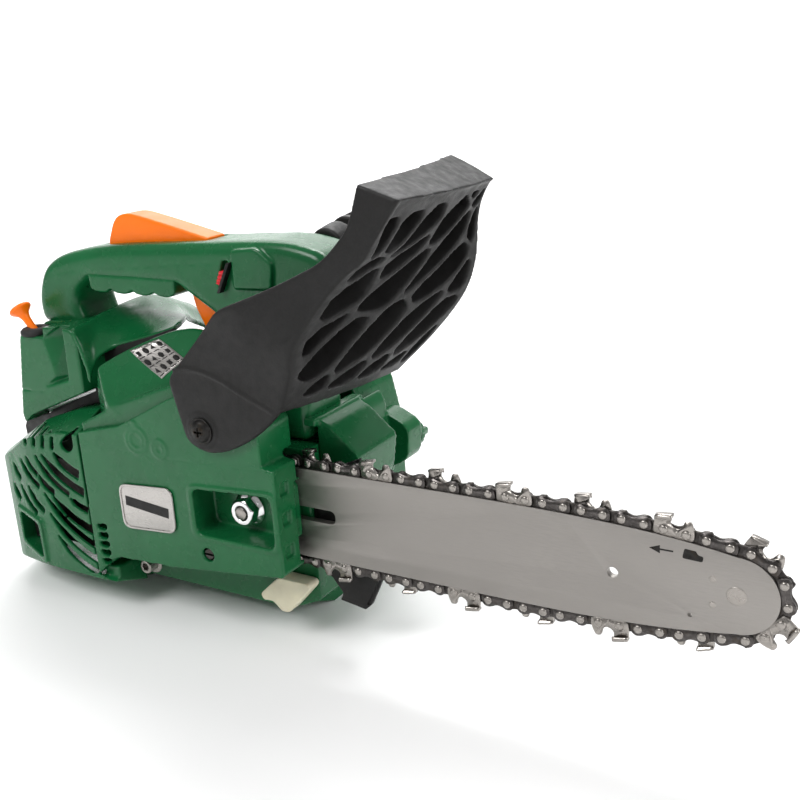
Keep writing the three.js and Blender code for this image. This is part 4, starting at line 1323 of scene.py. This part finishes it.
def add_bulkhead():
    """Black sheet behind the gap between the shroud, the air box and the engine covers."""
    sheet = plate([
        (-136, -6), (-137, 18), (-133, 25.5), (-112, 29.5), (-108, 32.5), (-67, 49), (-67, 59.5),
        (-60.5, 70.5), (-54, 75.3), (-45, 78.8), (-17, 86.8), (1.5, 93), (8, 90), (17, 84), (30, 70),
        (30, 48), (-34, 30), (-50, 14), (-112, 14), (-120, -6),
    ], 8.6, 10.4, name="bulkhead")
    dress(rounded_edges(sheet, 0.4, 2), "black_plastic", "chassis").name = "bulkhead"


def add_heat_shield():
    """Sheet that closes the muffler's bay towards the fuel tank, with two round bosses."""
    sheet = plate([
        (-147, -42, 4), (-124, -57, 4), (-98, -69, 4), (-46, -73.5), (-46, 14), (-108, 14, 8), (-146, 2, 8),
    ], 34.6, 36, name="heat_shield")
    bosses = [rod(x, -22, 9, 34, 37.2, 40) for x in (-70, -108)]
    join(sheet, *bosses)
    dress(rounded_edges(sheet, 0.3, 2), "dark_steel", "chassis").name = "heat_shield"


def add_cylinder_cover():
    """Cover over the cylinder with a skirt that reaches down inside the clutch cover."""
    cover = cad_copy("cylinder_cover")
    skirt = plate([
        (-51, 40), (-51.4, 22), (-30, 33), (-6, 45), (19, 60), (36, 62), (39, 76), (10, 66), (-24, 53),
    ], -20.6, -18)
    join(cover, skirt)
    finish_piece(moulded(cover, 0.9, 9), "cylinder_cover")
    add_label(cover)


def add_label(cover):
    """A pale film that follows the cover's shoulder, with rows of small plain marks."""
    corners = [Vector(c) for c in ((-16.6, -7.5, 83.5), (1, -2.5, 91.5), (25, -8, 82), (12, -16, 71))]

    def at(u, v):
        top = corners[0].lerp(corners[1], u)
        bottom = corners[3].lerp(corners[2], u)
        return tuple(top.lerp(bottom, v) + Vector((0, -3, 2)))

    def film(name, shapes, lift, thickness, slot):
        points, faces = [], []
        for shape in shapes:
            faces.append(tuple(range(len(points), len(points) + len(shape))))
            points += [at(u, v) for u, v in shape]
        piece = new_piece(name, points, faces)
        wrap = piece.modifiers.new("wrap", "SHRINKWRAP")
        wrap.target = cover
        wrap.wrap_method = "NEAREST_SURFACEPOINT"
        wrap.wrap_mode = "ABOVE_SURFACE"
        wrap.offset = lift * MM
        layer = piece.modifiers.new("film", "SOLIDIFY")
        layer.thickness = thickness * MM
        layer.offset = 0
        smooth_shaded(apply_modifiers(piece), 60)
        return dress(piece, slot, body_of["cylinder_cover"])

    steps = 16
    turns_round = ((0, 0), (1, 0), (1, 1), (0, 1))
    grid = [
        [((i + a) / steps, (k + b) / steps) for a, b in turns_round]
        for i in range(steps) for k in range(steps)
    ]
    paper = film("cover_label", grid, 0.2, 0.2, "badge_aluminium")
    weld = paper.modifiers.new("weld", "WELD")
    weld.merge_threshold = 0.001 * MM
    marks = []
    for row in range(3):
        for column in range(4):
            u, v = 0.13 + 0.245 * column, 0.19 + 0.31 * row
            sides = (4, 24, 3, 6)[(row + column) % 4]
            angles = [2 * math.pi * k / sides + 0.8 for k in range(sides)]
            marks.append([(u + 0.085 * math.cos(a), v + 0.1 * math.sin(a)) for a in angles])
            left, right, low, high = u - 0.09, u + 0.09, v + 0.12, v + 0.145
            marks.append([(left, low), (right, low), (right, high), (left, high)])
    film("cover_label_marks", marks, 0.36, 0.1, "black_plastic")


# ---- Castings, tanks and small parts -----------------------------------------------------


def add_oil_tank():
    """Front tank: a sloping face towards the front, a bulged left side and the neck for its cap."""
    front = [(92.4, -4, 2), (92.4, 49.5, 2), (101, 45, 2), (118, 30.4, 2.5), (115, 12, 3), (108, -3, 5)]
    tank = plate(front, 14, 54, name="tank")
    bulge = plate([(92.4, -4, 2), (92.4, 48, 3), (97, 44, 6), (101.5, 16, 20), (101, -4, 4)], 52, 76)
    neck = plate([(92.4, -4, 2), (112, 6, 6), (113.5, 26, 6), (98, 33.5, 6), (92.4, 33.5, 2)], 74, 90)
    rail = block((86.5, 94), (10, 58), (45, 49.5))
    join(tank, bulge, neck, rail)
    cut(tank, rod(103, 16, 6.8, 78, 92))
    finish_piece(moulded(tank, 0.8, 2), "oil_tank")


def add_filler_cap(node, x, z, y, radius):
    """Screw cap with a milled rim and a thumb bar across its face."""
    cap = turned([
        (0, y - 6), (radius * 0.66, y - 6), (radius * 0.68, y - 0.2), (radius, y + 0.2), (radius, y + 4),
        (radius - 1, y + 5), (0, y + 5),
    ], (x, 0, z), name="cap")
    left, right, low, high = x - radius * 0.92, x + radius * 0.92, z - 2.4, z + 2.4
    join(cap, plate([(left, low, 2), (right, low, 2), (right, high, 2), (left, high, 2)], y + 4, y + 9))
    pitch_circle = oval(radius * 1.02, radius * 1.02, 16)
    cut(cap, *[rod(x + a, z + h, 0.9, y + 0.8, y + 6, 12) for a, h in pitch_circle])
    finish_piece(rounded_edges(cap, 0.3, 2), node)


def add_starter_housing():
    """Left housing with its screws and a raised ring and hub over the recoil starter."""
    housing = cad_copy("starter_housing")
    outer = 104
    foot = (0, 0, 0)
    ring = [(47, outer - 1), (50, outer - 1), (49, outer + 1.2), (47.6, outer + 1.2)]
    hub = [(0, outer - 1), (17, outer - 1), (16, outer + 1.5), (5, outer + 2), (0, outer + 2)]
    screws = [(-44, -44), (74, -38), (74, 40), (-38, 42)]
    heads = [rod(x, z, 4.6, outer - 1, outer + 1) for x, z in screws]
    join(housing, turned(ring, foot, segments=96), turned(hub, foot), *heads)
    cut(housing, *[rod(x, z, 2.6, outer - 2, outer + 3, 6) for x, z in screws])
    finish_piece(moulded(housing, 0.95, 3), "starter_housing")


def add_moulded_cases():
    """Pieces whose CAD shape is right and that only need a moulded or cast skin."""
    for node, voxel, rounds in (
        ("crankcase", 1.0, 3), ("fuel_tank", 1.0, 4), ("starter_handle", 0.8, 5), ("primer_bulb", 0.5, 3),
        ("plug_boot", 0.5, 3), ("cylinder", 0.8, 2), ("carburettor", 0.8, 2),
    ):
        finish_piece(moulded(cad_copy(node), voxel, rounds), node)


def add_base():
    """Foot of the saw; its right side slopes up to the crankcase."""
    base = cad_copy("base_shell")
    cut(base, plate([(-5, -60), (8, -64), (44, -80.2), (44, -95), (-5, -95)], -60, 80, axis="X"))
    finish_piece(moulded(base, 0.9, 4), "base_shell")


def add_chain_catcher():
    """Stubby nylon lug with a heel, bolted under the clutch cover."""
    catcher = plate([
        (71, -41, 2), (91.5, -41, 2), (93, -44, 3), (77, -61.5, 2), (72, -62, 1.5), (65.5, -56.2, 3),
        (59.5, -57.6, 2), (57.5, -53.6, 2),
    ], -6.5, 3.7, name="catcher")
    finish_piece(moulded(catcher, 0.6, 7), "chain_catcher")


def add_bumper():
    """Stamped plate with sharpened teeth and a bolt hole."""
    spike = plate([
        (92.3, -34), (100.7, -40), (107, -48, 0.6), (105, -52.7, 0.6), (121, -55.2, 1), (124.5, -52, 0.6),
        (132.2, -36, 0.6), (118, -31, 3), (112, -18, 6), (112, 4, 6), (122, 12, 2), (124, 33, 1),
        (108, 26, 4), (92.3, 20),
    ], 5, 8, name="spike")
    hole = rod(101, -10, 2.8, 4, 9)
    lower_edge = plate([(124.5, -53), (134, -35), (130.6, -36), (122, -52)], 4, 6)
    upper_edge = plate([(125, 34), (126, 20), (121, 31)], 4, 6)
    cut(spike, hole, lower_edge, upper_edge)
    finish_piece(rounded_edges(spike, 0.4, 2), "bumper_spike")


def add_case_bolt():
    """Socket-head bolt with its washer."""
    x, z = -26, -52
    head = turned([
        (0, -11), (3.9, -11), (4.3, -10.5), (4.3, -4.3), (6.6, -4.1), (6.6, -3.3), (2.5, -3.3), (2.5, 3.7),
        (0, 3.7),
    ], (x, 0, z), name="bolt")
    cut(head, plate(hexagon(x, z, 2.5), -12, -7.5))
    finish_piece(rounded_edges(head, 0.15, 2), "case_bolt")


# ---- Camera, floor and light -------------------------------------------------------------


def add_camera():
    """At the photograph's viewing angle: from the front right, a little above."""
    right = Vector((0.8592, 0.508, -0.0616))
    up = Vector((-0.105, 0.2929, 0.9504))
    back = Vector((0.5008, -0.8101, 0.305))
    data = bpy.data.cameras.new("camera")
    data.sensor_width = 36
    data.lens = 48.19
    camera = bpy.data.objects.new("camera", data)
    turn = Matrix((right, up, back)).transposed().to_4x4()
    camera.matrix_world = Matrix.Translation(place(417.8, -425.7, 230.7)) @ turn
    bpy.context.scene.collection.objects.link(camera)
    bpy.context.scene.camera = camera


def add_floor():
    """Pale paper that runs back and curves up behind the saw."""
    flat_run, bend, half_width = 2200, 900, 6000
    profile = [(-3000, 0), (flat_run, 0)]
    for i in range(1, 13):
        angle = math.pi / 24 * i
        profile.append((flat_run + bend * math.sin(angle), bend - bend * math.cos(angle)))
    profile.append((flat_run + bend, 6000))
    away = Vector((-0.5, 0.86))
    aside = Vector((away.y, -away.x))
    points = []
    for run, height in profile:
        for offset in (-half_width, half_width):
            flat = away * run + aside * offset
            points.append((flat.x, flat.y, height - STAND_HEIGHT))
    faces = [(2 * i, 2 * i + 1, 2 * i + 3, 2 * i + 2) for i in range(len(profile) - 1)]
    floor = smooth_shaded(new_piece("floor", points, faces))
    finish = Finish("floor_paper", Specular_IOR_Level=0.1)
    finish.colour(finish.ramp(finish.noise(400, 2), [(0.3, (0.88, 0.88, 0.88)), (0.7, (0.92, 0.92, 0.92))]))
    finish.rough(finish.noise(60, 2), 0.8, 0.95)
    floor.data.materials.append(finish.material)


def add_softbox(name, location, target, size, watts):
    data = bpy.data.lights.new(name, "AREA")
    data.shape = "RECTANGLE"
    data.size, data.size_y = size
    data.energy = watts
    light = bpy.data.objects.new(name, data)
    light.location = location
    aim = Vector(target) - Vector(location)
    light.rotation_euler = aim.to_track_quat("-Z", "Y").to_euler()
    bpy.context.scene.collection.objects.link(light)


def add_light():
    world = bpy.data.worlds.new("studio")
    world.use_nodes = True
    world.node_tree.nodes["Background"].inputs["Color"].default_value = (1, 1, 1, 1)
    world.node_tree.nodes["Background"].inputs["Strength"].default_value = 0.36
    bpy.context.scene.world = world
    middle = (0.08, -0.03, 0.12)
    add_softbox("key", (-0.5, -1.5, 1.7), middle, (0.9, 0.9), 30)
    add_softbox("side", (1.9, -0.2, 1.0), middle, (0.7, 1.0), 16)
    add_softbox("top", (0.0, 1.1, 2.0), middle, (1.4, 0.7), 24)
    add_softbox("backdrop", (-1.0, 1.7, 3.0), (-1.8, 3.4, 0.6), (3.0, 1.0), 130)
    bpy.context.scene.view_settings.view_transform = "Standard"


dress_cad_pieces()
add_guide_bar()
add_chain()
add_hand_guard()
add_clutch_cover()
add_badge()
add_bar_nut()
add_tension_screw()
add_muffler_cover()
add_top_handle()
add_grip_lower()
add_throttle()
add_stop_switch()
add_side_handle()
add_air_box()
add_choke()
add_engine_shroud()
add_bulkhead()
add_heat_shield()
add_cylinder_cover()
add_oil_tank()
add_filler_cap("fuel_cap", -84, -28, 106.3, 15)
add_filler_cap("oil_cap", 103, 16, 90.3, 9.6)
add_starter_housing()
add_moulded_cases()
add_base()
add_chain_catcher()
add_bumper()
add_case_bolt()
add_camera()
add_floor()
add_light()
